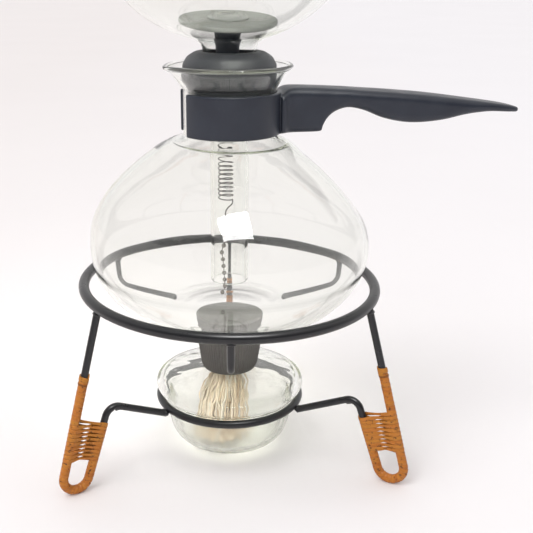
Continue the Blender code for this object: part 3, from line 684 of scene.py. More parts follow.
def make_leg(side, azimuth, paint):
    """One bent rod with its weld to the ring, its weld to the lamp's ring and a run of paint."""
    top = outer_rod(ring_height(azimuth) - RING_ROD_R + 0.0012)
    bend = foot_bend(24)
    path = [top, outer_rod(0.06), outer_rod(0.03)] + bend
    path += fillet(bend[-1], ELBOW, ARM_END, ELBOW_BEND_R, 14) + [(ARM_END[0] - 0.001, ARM_END[1] - 0.0004)]
    mesh = bmesh.new()
    tube(mesh, flat(path), LEG_ROD_R, 24, SIDEWAYS)
    blob(mesh, (top[0] - 0.0002, 0.0, ring_height(azimuth) - RING_ROD_R + 0.0002),
         (0.0027, 0.0029, 0.0015), azimuth)
    blob(mesh, (ARM_END[0] - 0.0004, 0.0, ARM_END[1] + 0.0002), (0.002, 0.0026, 0.0018), azimuth + 1)
    blob(mesh, (0.0704, 0.0, 0.0418), (0.0018, 0.0012, 0.001), azimuth + 2, 0.3)
    add_piece("rod_leg_" + side, mesh, paint, "stand", ["leg_" + side], "satin_black", azimuth)


def wound_path(run, radius, pitch, phase):
    """Helix of the given pitch round a rod's middle line, with the rod's direction at each point."""
    travelled = lengths(run)
    per_turn = 22
    count = int(travelled[-1] / pitch * per_turn)
    path = []
    across = []
    for i in range(count + 1):
        distance = min(i / per_turn * pitch, travelled[-1])
        middle, along = at_distance(run, travelled, distance)
        angle = 2 * math.pi * i / per_turn + phase
        up = along.cross(SIDEWAYS)
        wobble = 1.0 + 0.03 * noise.noise(Vector((i / per_turn * 1.7, phase, 0.0)))
        path.append(middle + (up * math.cos(angle) + SIDEWAYS * math.sin(angle)) * radius * wobble)
        across.append(along)
    return path, across


def lashing_path():
    """Figure-eight winding between the two rods, from the top down."""
    path = []
    across = []
    widths = []
    reach = LEG_ROD_R + STRIP_THICKNESS * 0.5
    drop_out = LASHING_TOP[0] - LASHING_FOOT[0]
    drop_in = LASHING_TOP[1] - LASHING_FOOT[1]

    def rods(share):
        ends = outer_rod(LASHING_TOP[0] - drop_out * share), inner_rod(LASHING_TOP[1] - drop_in * share)
        return [Vector(point) for point in flat(ends)]

    def on(centre, toward, angle):
        return centre + (toward * math.cos(angle) + SIDEWAYS * math.sin(angle)) * reach

    arc_steps = 12
    run_steps = 14
    round_rod = [i / arc_steps for i in range(arc_steps + 1)]
    between = [i / run_steps for i in range(1, run_steps)]
    turn_steps = [("out", t) for t in round_rod] + [("to_in", t) for t in between]
    turn_steps += [("in", t) for t in round_rod] + [("to_out", t) for t in between]
    for turn_index in range(LASHING_TURNS):
        last = turn_index == LASHING_TURNS - 1
        for part, t in turn_steps:
            if last and part == "to_out":
                continue
            begin, finish = LASHING_DROP[part]
            share = (turn_index + begin + (finish - begin) * t) / LASHING_TURNS
            out, inner = rods(share)
            toward = inner - out
            distance = toward.length
            toward.normalize()
            touch = math.acos(2 * reach / distance)
            pinch = 0.0
            if part == "out":
                point = on(out, toward, touch + (2 * math.pi - 2 * touch) * t)
            elif part == "in":
                point = on(inner, toward, math.pi - touch - (2 * math.pi - 2 * touch) * t)
            elif part == "to_in":
                point = on(out, toward, -touch).lerp(on(inner, toward, math.pi - touch), t)
                pinch = math.sin(math.pi * min(max((t - 0.14) / 0.8, 0.0), 1.0)) ** 0.7
            else:
                point = on(inner, toward, math.pi + touch).lerp(on(out, toward, touch), t)
                pinch = math.sin(math.pi * min(max((1.0 - t - 0.16) / 0.46, 0.0), 1.0))
            path.append(point)
            across.append((rods(min(share + 0.05, 1.0))[0] - rods(share - 0.05)[0]).normalized())
            widths.append(drop_out / LASHING_TURNS * (1.02 - 0.42 * pinch))
    return path, across, widths


def make_binding(side, azimuth, cane):
    """Cane strip wound round the outer rod, lashed across, then wound round the foot."""
    mesh = bmesh.new()
    rng = random.Random(side)
    radius = LEG_ROD_R + STRIP_THICKNESS * 0.45
    turns = [rng.random() for _ in range(80)]

    def tone(distance):
        return 0.08 + turns[int(distance / 0.014) % len(turns)] * 0.7

    def wind(rod, radius, pitch, phase, width, tone):
        path, across = wound_path(flat(rod), radius, pitch, phase)
        strip(mesh, path, across, [width] * len(path), STRIP_THICKNESS, tone)

    top = CANE_TOP_Z
    upper = [outer_rod(top - 0.0018), outer_rod(0.054), outer_rod(LASHING_TOP[0] - 0.0006)]
    wind(upper, radius, 0.00258, 0.6, STRIP_WIDTH, tone)
    wind([outer_rod(top + 0.0001), outer_rod(top - 0.003)], radius + 0.00022, 0.0022, 2.2, 0.0027, 1.0)
    # A thin near-black band just under the top collar: painted shadow that the collar casts on the winding
    # below it.
    painted_shadow_band = [outer_rod(top - 0.0036), outer_rod(top - 0.0046)]
    wind(painted_shadow_band, radius + 0.00022, 0.0011, 2.6, 0.0011, 0.0)
    lower = [outer_rod(LASHING_FOOT[0] + 0.0014), outer_rod(0.0135)] + foot_bend(32)
    lower += [inner_rod(LASHING_FOOT[1] - 0.003), inner_rod(LASHING_FOOT[1] + 0.0014)]
    wind(lower, radius, 0.00236, 1.2, STRIP_WIDTH, tone)
    path, across, widths = lashing_path()
    strip(mesh, path, across, widths, STRIP_THICKNESS, lambda d: 0.25 + 0.75 * turns[int(d / 0.047) % 80])
    add_piece("binding_" + side, mesh, cane, "stand", ["cane_" + side], "cane", azimuth, 60.0)


def make_prong(side, azimuth, paint):
    """Short bent rod under the ring with a rounded end and a weld."""
    top = (PRONG_R, ring_height(azimuth) - RING_ROD_R + 0.0012)
    corner = (PRONG_R, PRONG_Z)
    end = (PRONG_INNER_R, PRONG_Z)
    path = [top] + fillet(top, corner, end, PRONG_BEND_R, 12)
    radii = [PRONG_ROD_R] * len(path)
    for offset, radius in ((0.0012, 1.0), (0.0006, 0.95), (0.0002, 0.8), (0.00005, 0.62)):
        path.append((end[0] + offset, end[1]))
        radii.append(PRONG_ROD_R * radius)
    mesh = bmesh.new()
    tube(mesh, flat(path), radii, 22, SIDEWAYS)
    blob(mesh, (PRONG_R, 0.0, ring_height(azimuth) - RING_ROD_R + 0.0003), (0.0024, 0.003, 0.0014), azimuth)
    add_piece("rod_prong_" + side, mesh, paint, "stand", ["prong_" + side], "satin_black", azimuth)


def make_stand():
    """Two rings, three legs with their cane, and three prongs."""
    paint = moulded_material("satin_black_paint", (0.0065, 0.0065, 0.0078), (0.0115, 0.0115, 0.0135),
            0.26, 0.36, 0.00003, (0.05, 0.048, 0.048), 0.55)
    cane = cane_material()
    mesh = bmesh.new()
    turn(mesh, arc((RING_R, 0.0), RING_ROD_R, 0, 360, 28)[:-1], 192, closed=True)
    roll = Matrix.Rotation(math.radians(RING_ROLL_DEG), 4, "Y")
    for vertex in mesh.verts:
        vertex.co = roll @ vertex.co + Vector((0.0, 0.0, RING_Z))
    add_piece("ring_for_pot", mesh, paint, "stand", ["pot_ring"], "satin_black")
    mesh = bmesh.new()
    turn(mesh, arc((LAMP_RING_R, LAMP_RING_Z), LAMP_RING_ROD_R, 0, 360, 24)[:-1], 128, closed=True)
    add_piece("ring_for_lamp", mesh, paint, "stand", ["lamp_ring"], "satin_black")
    for side, azimuth in LEG_AZIMUTHS.items():
        make_leg(side, azimuth, paint)
        make_binding(side, azimuth, cane)
    for side, azimuth in PRONG_AZIMUTHS.items():
        make_prong(side, azimuth, paint)


# ---------------------------------------------------------------- the pot

def pot_outline():
    """Outer outline of the pot from its base to under the rim."""
    body = [(0.034, POT_BOTTOM_Z), (0.0405, 0.0831), (0.049, 0.0852), (0.0566, 0.0893), (0.066, 0.0988),
            (0.072, 0.11), (0.0738, 0.122), (0.072, 0.1335), (0.066, 0.144), (0.0575, 0.154),
            (0.048, 0.163), (0.04, 0.1695), (0.0345, 0.1738), (0.0318, 0.1756), (0.0303, 0.1763),
            (0.029, 0.1766), (0.0272, 0.1772), (0.0252, 0.1783), (0.024, 0.1796), (POT_NECK_R, 0.1812)]
    flare = run((POT_NECK_R, 0.182), (POT_NECK_R, NECK_HIGH_Z), 8)
    flare += [(0.0241, 0.203), (0.0252, 0.205), (0.0284, 0.2103), (RIM_R - 0.0012, 0.2124)]
    return smooth(body, 7) + smooth(flare, 6)


def ease(value, low, high):
    """Smooth step from 0 at low to 1 at high."""
    share = min(max((value - low) / (high - low), 0.0), 1.0)
    return share * share * (3.0 - 2.0 * share)


def lean_shoulder(vertices):
    """Raises the shoulder opposite the handle, and leaves the base and the neck square."""
    for vertex in vertices:
        share = ease(vertex.co.z, SHOULDER_LEAN_LOW_Z, SHOULDER_LEAN_HIGH_Z)
        share *= 1.0 - ease(vertex.co.z, SHOULDER_TOP_Z, NECK_LOW_Z)
        vertex.co.z -= SHOULDER_LEAN * share * vertex.co.x


def pull_spout(vertices):
    """Draws the rim out into a pouring lip."""
    direction = math.radians(SPOUT_AZIMUTH)
    for vertex in vertices:
        rise = (vertex.co.z - NECK_HIGH_Z) / (RIM_Z - NECK_HIGH_Z)
        if rise <= 0:
            continue
        angle = math.atan2(vertex.co.y, vertex.co.x) - direction
        angle = math.degrees(math.atan2(math.sin(angle), math.cos(angle)))
        pull = SPOUT_REACH * rise ** 2 * math.exp(-(angle / SPOUT_SPREAD_DEG) ** 2)
        vertex.co.x += pull * math.cos(direction)
        vertex.co.y += pull * math.sin(direction)
        vertex.co.z -= 0.4 * pull


def make_pot(glass):
    """One glass shell, open at its fire-polished rim."""
    outer = pot_outline()
    inner = inset(outer, POT_WALL)
    rim = arc((RIM_R - RIM_BEAD_R + 0.0001, RIM_Z - RIM_BEAD_R), RIM_BEAD_R, -30, 215, 14)
    rise = [(0.0, 0.001), (0.008, 0.00095), (0.014, 0.00075), (0.019, 0.0005), (0.0225, 0.0004),
            (0.026, 0.00022), (0.029, 0.00012), (0.032, 0.00003)]
    shell = smooth([(r, POT_BOTTOM_Z + z) for r, z in rise], 5)
    shell += outer + rim + inner[::-1]
    shell += [(0.02, POT_BOTTOM_Z + POT_WALL), (0.0, POT_BOTTOM_Z + POT_WALL)]
    mesh = bmesh.new()
    vertices = turn(mesh, shell, ROUND)
    lean_shoulder(vertices)
    pull_spout(vertices)
    add_piece("blown_pot", mesh, glass, "pot", ["pot_glass"], "clear_glass", sharp_deg=80.0)


def grip_ring(mesh, distance, half_width, low, high):
    """Rounded rectangle across the grip, its top a little crowned."""
    edge = min(GRIP_EDGE_R, 0.48 * (high - low), 0.48 * half_width)
    crown = 0.1 * half_width * min((high - low) / 0.012, 1.0)
    corners = [(half_width - edge, high - edge, 0), (edge - half_width, high - edge, 90),
            (edge - half_width, low + edge, 180), (half_width - edge, low + edge, 270)]
    ring = []
    for i, (y, z, start) in enumerate(corners):
        points = arc((y, z), edge, start, start + 90, 7)
        first = Vector(points[-1])
        then = corners[(i + 1) % 4]
        last = Vector(arc(then[:2], edge, then[2], then[2], 1)[0])
        points += [tuple(first.lerp(last, share)) for share in (0.25, 0.5, 0.75)]
        for a, b in points:
            if b > (low + high) / 2:
                b -= crown * (a / half_width) ** 2
            ring.append(mesh.verts.new((distance, a, b)))
    return ring


def close_run(mesh, rings):
    """Faces round a run of rings, both ends closed."""
    for ring, following in zip(rings, rings[1:]):
        bridge(mesh, ring, following)
    mesh.faces.new(rings[0])
    mesh.faces.new(rings[-1])


def make_handle(plastic):
    """Grip and split collar in one moulding, joined by a fine remesh that rounds their corners."""
    mesh = bmesh.new()
    rows = smooth(GRIP, 7)
    rings = [grip_ring(mesh, *row) for row in rows]
    close_run(mesh, rings)
    split = BAND_SPLIT_DEG / 2
    seam = (BAND_INNER_R, (BAND_LOW_Z + BAND_HIGH_Z) / 2, 0)
    section = rounded([seam, (BAND_INNER_R, BAND_LOW_Z, 0.0003), (BAND_OUTER_R, BAND_LOW_Z, 0.0006),
            (BAND_OUTER_R, BAND_HIGH_Z, 0.0006), (BAND_INNER_R, BAND_HIGH_Z, 0.0003), seam], 3)[:-1]
    rings = []
    steps = 120
    for i in range(steps + 1):
        angle = math.radians(-180.0 + split + (360.0 - 2 * split) * i / steps)
        rings.append([mesh.verts.new((r * math.cos(angle), r * math.sin(angle), z)) for r, z in section])
    close_run(mesh, rings)
    bmesh.ops.recalc_face_normals(mesh, faces=mesh.faces)
    data = bpy.data.meshes.new("handle_parts")
    mesh.to_mesh(data)
    mesh.free()
    rough = bpy.data.objects.new("handle_parts", data)
    bpy.context.scene.collection.objects.link(rough)
    remesh = rough.modifiers.new("join", "REMESH")
    remesh.mode = "VOXEL"
    remesh.voxel_size = 0.00042
    relax = rough.modifiers.new("relax", "SMOOTH")
    relax.factor = 0.5
    relax.iterations = 7
    graph = bpy.context.evaluated_depsgraph_get()
    joined = bmesh.new()
    joined.from_object(rough, graph)
    bpy.data.objects.remove(rough, do_unlink=True)
    add_piece("handle_moulding", joined, plastic, "pot", ["pot_handle"], "black_plastic",
            HANDLE_AZIMUTH, 70.0)


# ---------------------------------------------------------------- the funnel

def globe_height(radius, reach):
    """Height of the globe's outline from its middle, for a rise or a drop."""
    return reach * math.sqrt(max(1 - (radius / GLOBE_R) ** 2, 0.0))


def make_funnel(glass):
    """Stem, neck and globe in one glass shell, open at both ends."""
    taper = smooth([(STEM_R, STEM_HIGH_Z - 0.002), (STEM_R + 0.0002, STEM_HIGH_Z + 0.001), (0.0116, 0.2032),
            (0.013, 0.2068), (FUNNEL_NECK_R, FUNNEL_NECK_LOW_Z + 0.0005)], 5)
    globe = [(FUNNEL_NECK_R, FUNNEL_NECK_HIGH_Z), (0.0139, 0.2234), (0.015, 0.2252)]
    start = math.asin(GLOBE_FOOT_R / GLOBE_R)
    for i in range(26):
        angle = start + (math.pi / 2 - start) * i / 25
        radius = GLOBE_R * math.sin(angle)
        globe.append((radius, GLOBE_Z - globe_height(radius, GLOBE_DROP)))
    stop = math.asin(MOUTH_R / GLOBE_R)
    for i in range(1, 19):
        angle = math.pi / 2 - (math.pi / 2 - stop) * i / 18
        radius = GLOBE_R * math.sin(angle)
        globe.append((radius, GLOBE_Z + globe_height(radius, GLOBE_RISE)))
    throat = smooth([globe[-1], (MOUTH_R - 0.0011, 0.3155), (MOUTH_R - 0.0006, FUNNEL_TOP_Z - 0.0062)], 4)
    stem = run((STEM_R, STEM_LOW_Z + 0.0007), (STEM_R, STEM_HIGH_Z - 0.002), 24)
    neck = run((FUNNEL_NECK_R, FUNNEL_NECK_LOW_Z + 0.0005), (FUNNEL_NECK_R, FUNNEL_NECK_HIGH_Z), 8)
    outer = stem[:-1] + taper + neck[1:-1] + globe + throat[1:]
    inner = inset(outer, FUNNEL_WALL)
    inner[0] = (STEM_R - FUNNEL_WALL, STEM_LOW_Z + 0.0007)
    foot = arc((STEM_R - FUNNEL_WALL / 2, STEM_LOW_Z + 0.0007), FUNNEL_WALL / 2, 180, 360, 8)
    rim = arc((MOUTH_RIM_R - FUNNEL_WALL, FUNNEL_TOP_Z - 0.0017), 0.0017, -50, 205, 12)
    mesh = bmesh.new()
    vertices = turn(mesh, foot[1:-1] + outer + rim + inner[::-1], ROUND, closed=True)
    for vertex in vertices:
        vertex.co.x += GLOBE_SHIFT_X * ease(vertex.co.z, GLOBE_SHIFT_LOW_Z, GLOBE_SHIFT_HIGH_Z)
    add_piece("blown_funnel", mesh, glass, "funnel", ["funnel_glass"], "clear_glass", sharp_deg=80.0)


def make_gasket():
    """Rubber bung with a domed flange and a faint moulding line."""
    rubber = moulded_material("gasket_rubber", (0.033, 0.035, 0.041), (0.05, 0.052, 0.058), 0.42, 0.58,
            0.00005, (0.1, 0.09, 0.08))
    bore = GASKET_BORE_R
    outline = rounded([
            (bore, 0.2, 0), (bore, 0.1915, 0.0003), (0.0192, 0.1915, 0.0008), (0.0199, 0.194, 0.003),
            (0.0207, 0.2032, 0.0008), (0.0222, 0.2044, 0.0012), (GASKET_R, 0.207, 0.0016),
            (GASKET_R, 0.2104, 0.0002), (GASKET_R + 0.0001, 0.2106, 0.0001), (GASKET_R, 0.2108, 0.0002),
            (GASKET_R, 0.2144, 0.0026), (0.0216, 0.2184, 0.005), (0.0176, 0.2208, 0.005),
            (0.0146, 0.2212, 0.0006), (bore, 0.2206, 0.0003), (bore, 0.21, 0)], 5)
    mesh = bmesh.new()
    turn(mesh, outline, ROUND, closed=True)
    add_piece("gasket_bung", mesh, rubber, "funnel", ["gasket"], "black_rubber")


# ---------------------------------------------------------------- the filter

def make_filter():
    """Plate with a rolled rim, woven mesh, button and plug on one leaning axis."""
    grey = moulded_material("filter_grey_plastic", (0.186, 0.192, 0.18), (0.25, 0.256, 0.237), 0.42, 0.58,
            0.00004, (0.22, 0.18, 0.13))
    black = moulded_material("plug_plastic", (0.022, 0.026, 0.036), (0.036, 0.042, 0.056), 0.36, 0.52,
            0.00004)
    weave = mesh_cloth_material()
    half = FILTER_THICKNESS / 2
    low = MESH_LOW
    under = -half - 0.0003
    bore = 0.0034
    sheet_r = FILTER_R - 0.0011
    plate = rounded([(bore, 0.0, 0), (bore, -half, 0.0001), (FILTER_R - 0.0002, -half, 0.0005),
            (FILTER_R, 0.0, 0.0004), (FILTER_R - 0.0001, half + 0.0006, 0.0003),
            (FILTER_R - 0.0008, half + 0.0006, 0.0002), (FILTER_R - 0.001, half, 0.0001),
            (bore, half, 0.0001), (bore, 0.0, 0)], 4)[:-1]
    sheet = rounded([(BUTTON_R + 0.0003, low, 0), (sheet_r, low, 0.0001), (sheet_r, low + 0.0004, 0.0002),
            (BUTTON_R + 0.0003, low + 0.0004, 0)], 3)
    button = rounded([(0.0, low + 0.0012, 0), (bore, low + 0.0012, 0.0002), (bore, low, 0.0002),
            (BUTTON_R, low, 0.0003), (BUTTON_R, low + 0.0013, 0.0005), (0.0086, low + 0.0018, 0.0006),
            (0.0072, low + 0.0031, 0.0008), (0.0056, low + 0.0031, 0.0006),
            (0.0046, low + 0.0022, 0.0006), (0.0, low + 0.0019, 0)], 5)
    plug = rounded([(0.0, low + 0.0008, 0), (0.003, low + 0.0008, 0.0002), (0.003, under, 0.0001),
            (PLUG_FLANGE_R, under, 0.0002), (PLUG_FLANGE_R, under - 0.0009, 0.0004),
            (PLUG_TOP_R, under - 0.0036, 0.003), (PLUG_END_R, under - 0.01, 0.003),
            (PLUG_END_R, -PLUG_LENGTH, 0.0008), (0.0, -PLUG_LENGTH, 0)], 6)
    leaning = Matrix.Translation((FILTER_X, 0.0, FILTER_Z)) @ (
        Matrix.Rotation(math.radians(FILTER_ROLL_DEG), 4, "Y")
        @ Matrix.Rotation(math.radians(FILTER_LEAN_DEG), 4, "X"))
    for name, outline, steps, closed, material, node, slot in (
            ("filter_disc", plate, SMALL_ROUND * 2, True, grey, "filter_plate", "filter_grey"),
            ("filter_cloth", sheet, SMALL_ROUND * 2, True, weave, "filter_mesh", "filter_mesh"),
            ("filter_knob", button, SMALL_ROUND, False, grey, "filter_button", "filter_grey"),
            ("filter_stem", plug, SMALL_ROUND, False, black, "filter_plug", "filter_black")):
        mesh = bmesh.new()
        for vertex in turn(mesh, outline, steps, closed):
            vertex.co = leaning @ vertex.co
        add_piece(name, mesh, material, "filter", [node], slot)


def make_spring():
    """Coil spring, drawn open at the top and nearly closed at the bottom, and its straight link."""
    steel = steel_material("spring_wire", (0.105, 0.09, 0.078), (0.05, 0.036, 0.028), 0.44)
    per_turn = 26
    path = []
    turns = SPRING_OPEN_TURNS + SPRING_CLOSE_TURNS
    for i in range(turns * per_turn + 1):
        number = i / per_turn
        if number < SPRING_OPEN_TURNS:
            height = SPRING_TOP_Z + (SPRING_OPEN_END_Z - SPRING_TOP_Z) * number / SPRING_OPEN_TURNS
        else:
            part = (number - SPRING_OPEN_TURNS) / SPRING_CLOSE_TURNS
            height = SPRING_OPEN_END_Z + (SPRING_LOW_Z - SPRING_OPEN_END_Z) * part
        sway = 0.00018 * math.sin(number * 2.3)
        angle = 2 * math.pi * number
        path.append((SPRING_X + sway + SPRING_R * math.cos(angle),
                SPRING_Y + SPRING_R * math.sin(angle), height))
    mesh = bmesh.new()
    tube(mesh, path, SPRING_WIRE_R, 10)
    add_piece("coil_spring", mesh, steel, "filter", ["filter_spring"], "spring_steel", sharp_deg=60.0)
    last = Vector(path[-1])
    link = smooth([(last.x, last.y, last.z - 0.0004), (last.x - 0.0004, last.y + 0.0002, last.z - 0.0026),
            (SPRING_X + 0.0012, SPRING_Y, last.z - 0.0046), (SPRING_X, SPRING_Y, last.z - 0.007),
            (SPRING_X, SPRING_Y, LINK_LOW_Z + 0.0012)], 6)
    mesh = bmesh.new()
    tube(mesh, link, 0.00034, 12)
    loop = [(SPRING_X, SPRING_Y + y, z) for y, z in arc((0.0, LINK_LOW_Z + 0.0009), 0.0009, 80, 430, 20)]
    tube(mesh, loop, 0.00028, 8)
    add_piece("wire_link", mesh, steel, "filter", ["spring_link"], "spring_steel", sharp_deg=60.0)


def make_chain():
    """Bead chain: hollow balls with pinched ends on short dumb-bell wires."""
    steel = steel_material("bead_steel", (0.34, 0.32, 0.3), (0.16, 0.13, 0.11), 0.5)
    route = [Vector((x, SPRING_Y, z)) for x, z in smooth(CHAIN_ROUTE, 16)]
    travelled = lengths(route)
    beads = int((travelled[-1] - BEAD_R) / BEAD_PITCH) + 1
    mesh = bmesh.new()
    wire = [at_distance(route, travelled, travelled[-1] * i / 60)[0] for i in range(60)]
    tube(mesh, wire, CHAIN_WIRE_R * 0.8, 8)
    for bead in range(beads):
        middle = travelled[-1] - BEAD_R - (beads - 1 - bead) * BEAD_PITCH
        place, along = at_distance(route, travelled, max(middle, 0.0))
        offsets = [math.cos(math.radians(a)) for a in range(168, 0, -12)]
        path = [place + along * BEAD_R * c for c in offsets]
        radii = [BEAD_R * math.sqrt(1 - c * c) for c in offsets]
        radii[0] *= 1.15
        radii[-1] *= 1.15
        tube(mesh, path, radii, 24)
    add_piece("ball_chain", mesh, steel, "filter", ["bead_chain"], "spring_steel", sharp_deg=50.0)


# ---------------------------------------------------------------- the lamp

def make_lamp(glass):
    """Glass bowl with a rolled shoulder, and the turned wick holder in its mouth."""
    outer = smooth([(0.0172, LAMP_LOW_Z), (0.0232, 0.0064), (0.0277, 0.0082), (0.031, 0.0116), (0.033, 0.016),
            (0.0346, 0.0226), (0.0355, 0.029), (0.0361, 0.0322), (0.0379, 0.035), (0.04, 0.0373),
            (0.041, 0.04), (0.0405, 0.0424), (0.0388, 0.044), (0.035, 0.0454), (0.03, 0.0466),
            (0.018, 0.0483), (0.0136, 0.0488), (0.012, 0.0494), (LAMP_MOUTH_R, 0.0506)], 6)
    inner = smooth([(0.0172, 0.0084), (0.024, 0.0094), (0.0283, 0.0122), (0.0307, 0.0174), (0.0321, 0.024),
            (0.033, 0.03), (0.0345, 0.0338), (0.0368, 0.0366), (0.0377, 0.0394), (0.0364, 0.0417),
            (0.0328, 0.0431), (0.025, 0.0446), (0.018, 0.0456), (0.012, 0.0464), (0.0099, 0.0472)], 6)
    mouth = [(LAMP_MOUTH_R, LAMP_MOUTH_Z - 0.0006)]
    mouth += arc((LAMP_MOUTH_R - 0.0007, LAMP_MOUTH_Z - 0.0007), 0.0007, 0, 90, 4)
    mouth += arc((LAMP_MOUTH_R - LAMP_WALL + 0.0007, LAMP_MOUTH_Z - 0.0007), 0.0007, 90, 180, 4)
    mouth += [(LAMP_MOUTH_R - LAMP_WALL, 0.0488)]
    shell = [(0.0, LAMP_LOW_Z + 0.0008), (0.01, LAMP_LOW_Z + 0.0006), (0.0145, LAMP_LOW_Z + 0.0001)]
    shell += outer + mouth + inner[::-1] + [(0.0, LAMP_LOW_Z + LAMP_WALL + 0.0004)]
    mesh = bmesh.new()
    turn(mesh, shell, ROUND)
    add_piece("lamp_bowl", mesh, glass, "lamp", ["lamp_glass"], "clear_glass", sharp_deg=80.0)

    metal = steel_material("holder_aluminium", (0.72, 0.72, 0.73), (0.34, 0.29, 0.24), 0.58)
    bore = WICK_R + 0.0003
    neck = LAMP_MOUTH_R - LAMP_WALL - 0.0003
    seat = LAMP_MOUTH_Z + 0.0003
    holder = rounded([(bore, 0.056, 0), (bore, 0.047, 0.0003), (HOLDER_TUBE_R, 0.047, 0.0003),
            (HOLDER_TUBE_R, 0.05, 0.0003), (neck, 0.05, 0.0005), (neck, seat, 0.0001),
            (HOLDER_R, seat, 0.0004), (HOLDER_R, seat + 0.0022, 0.0007),
            (HOLDER_TUBE_R, seat + 0.0026, 0.0006), (HOLDER_TUBE_R, 0.066, 0.0004),
            (bore, 0.066, 0.0003), (bore, 0.06, 0)], 4)
    mesh = bmesh.new()
    turn(mesh, holder, SMALL_ROUND, closed=True)
    add_piece("holder_turned", mesh, metal, "lamp", ["wick_holder"], "holder_metal")


def make_wick():
    """Loose cotton yarns, packed in the holder and fanned out on the lamp's floor."""
    cotton = cotton_material()
    rng = random.Random(7)
    mesh = bmesh.new()
    core = smooth([(0.0, WICK_FAN_Z), (0.003, 0.0477), (0.0036, 0.045), (0.0044, 0.0395), (0.0056, 0.032),
            (0.0066, 0.022), (0.0074, 0.014), (0.006, 0.0102), (0.0, 0.01)], 8)
    core[0] = (0.0, WICK_FAN_Z)
    core[-1] = (0.0, 0.01)
    for vertex in turn(mesh, core, 96):
        drop = (WICK_FAN_Z - vertex.co.z) / WICK_DROP
        folds = noise.noise(Vector((vertex.co.x * 260, vertex.co.y * 260, vertex.co.z * 40)))
        vertex.co.xy *= 1.0 + 0.3 * drop * folds
        vertex.co.x += WICK_SWING[0] * drop
        vertex.co.y += WICK_SWING[1] * drop
    for i in range(WICK_STRANDS):
        inside = rng.random() ** 0.5 * (WICK_R - 0.0006)
        around = rng.random() * 2 * math.pi
        fan = math.radians(rng.gauss(WICK_FAN_DEG, WICK_FAN_SPREAD_DEG))
        if i in WICK_CHARRED:
            fan = math.radians(WICK_CHARRED_DEG)
        reach = 0.004 + 0.0095 * rng.random() ** 1.5
        points = [(inside * math.cos(around), inside * math.sin(around), height)
                for height in (0.069 - 0.0008 * rng.random(), 0.058, 0.0482)]
        start = Vector(points[-1][:2])
        direction = Vector((math.cos(fan), math.sin(fan)))
        for height, share in WICK_ROUTE:
            drop = (WICK_FAN_Z - height) / WICK_DROP
            spot = start * (1.0 - drop) + direction * reach * share
            spot += Vector(WICK_SWING) * drop * 0.8
            spot += Vector((rng.gauss(0.0, 0.0008), rng.gauss(0.0, 0.0008)))
            points.append((spot.x, spot.y, height + rng.gauss(0.0, 0.0006)))
        curl = fan + rng.gauss(0.0, 0.9)
        end = Vector(points[-1][:2]) + Vector((math.cos(curl), math.sin(curl))) * 0.004
        if end.length > WICK_END_R:
            end *= WICK_END_R / end.length
        points.append((end.x, end.y, WICK_END_Z))
        tone = 1.0 if i in WICK_CHARRED else min(max(rng.gauss(0.42, 0.17), 0.05), 0.76)
        tube(mesh, smooth(points, 5), 0.00036 + 0.0003 * rng.random(), 6, tone=tone)
    add_piece("cotton_wick", mesh, cotton, "lamp", ["wick"], "cotton", sharp_deg=70.0)


def make_cap():
    """Ribbed snuffer cap: fine upright ribs between a plain foot and a plain top edge."""
    plastic = moulded_material("cap_plastic", (0.074, 0.069, 0.064), (0.121, 0.112, 0.104), 0.44, 0.6,
            0.00004, (0.16, 0.14, 0.12))
    per_rib = 6
    steps = CAP_RIBS * per_rib
    outer = rounded([(CAP_LOW_R - 0.003, CAP_LOW_Z, 0), (CAP_LOW_R - 0.0012, CAP_LOW_Z, 0.0008),
            (CAP_LOW_R - 0.0002, CAP_LOW_Z + 0.0024, 0.002),
            (CAP_HIGH_R - 0.0001, CAP_TOP_Z - 0.0016, 0.0008),
            (CAP_HIGH_R - 0.0012, CAP_TOP_Z - 0.0002, 0.0006), (0.013, CAP_TOP_Z, 0.003),
            (0.0, CAP_TOP_Z, 0)], 5)
    cavity = rounded([(0.0, CAP_TOP_Z - 0.002, 0), (CAP_HIGH_R - 0.0026, CAP_TOP_Z - 0.0026, 0.0012),
            (CAP_LOW_R - 0.003, CAP_LOW_Z, 0)], 5)
    middle = [(CAP_LOW_R + (CAP_HIGH_R - CAP_LOW_R) * i / 12, CAP_LOW_Z + 0.0034 + 0.0225 * i / 12)
            for i in range(1, 12)]
    split = next(i for i, (r, z) in enumerate(outer) if z > CAP_LOW_Z + 0.02)
    outline = cavity[:-1] + outer[:split] + middle + outer[split:]
    mesh = bmesh.new()
    ribbed = turn(mesh, outline, steps)
    for vertex in ribbed:
        radius = vertex.co.xy.length
        if radius < CAP_LOW_R - 0.0016:
            continue
        surface = CAP_LOW_R + (CAP_HIGH_R - CAP_LOW_R) * (vertex.co.z - CAP_LOW_Z) / (CAP_TOP_Z - CAP_LOW_Z)
        if radius < surface - 0.0012:
            continue
        low_edge = min(max((vertex.co.z - CAP_LOW_Z - 0.0008) / 0.0016, 0.0), 1.0)
        high_edge = min(max((CAP_TOP_Z - 0.0012 - vertex.co.z) / 0.001, 0.0), 1.0)
        phase = math.cos(CAP_RIBS * math.atan2(vertex.co.y, vertex.co.x))
        cut = CAP_RIB_DEPTH * (0.5 - 0.5 * math.copysign(abs(phase) ** 0.6, phase)) * low_edge * high_edge
        vertex.co.xy *= (radius - cut) / radius
    add_piece("ribbed_snuffer", mesh, plastic, "cap", ["snuffer_cap"], "cap_black", sharp_deg=60.0)


# ---------------------------------------------------------------- camera, light and floor

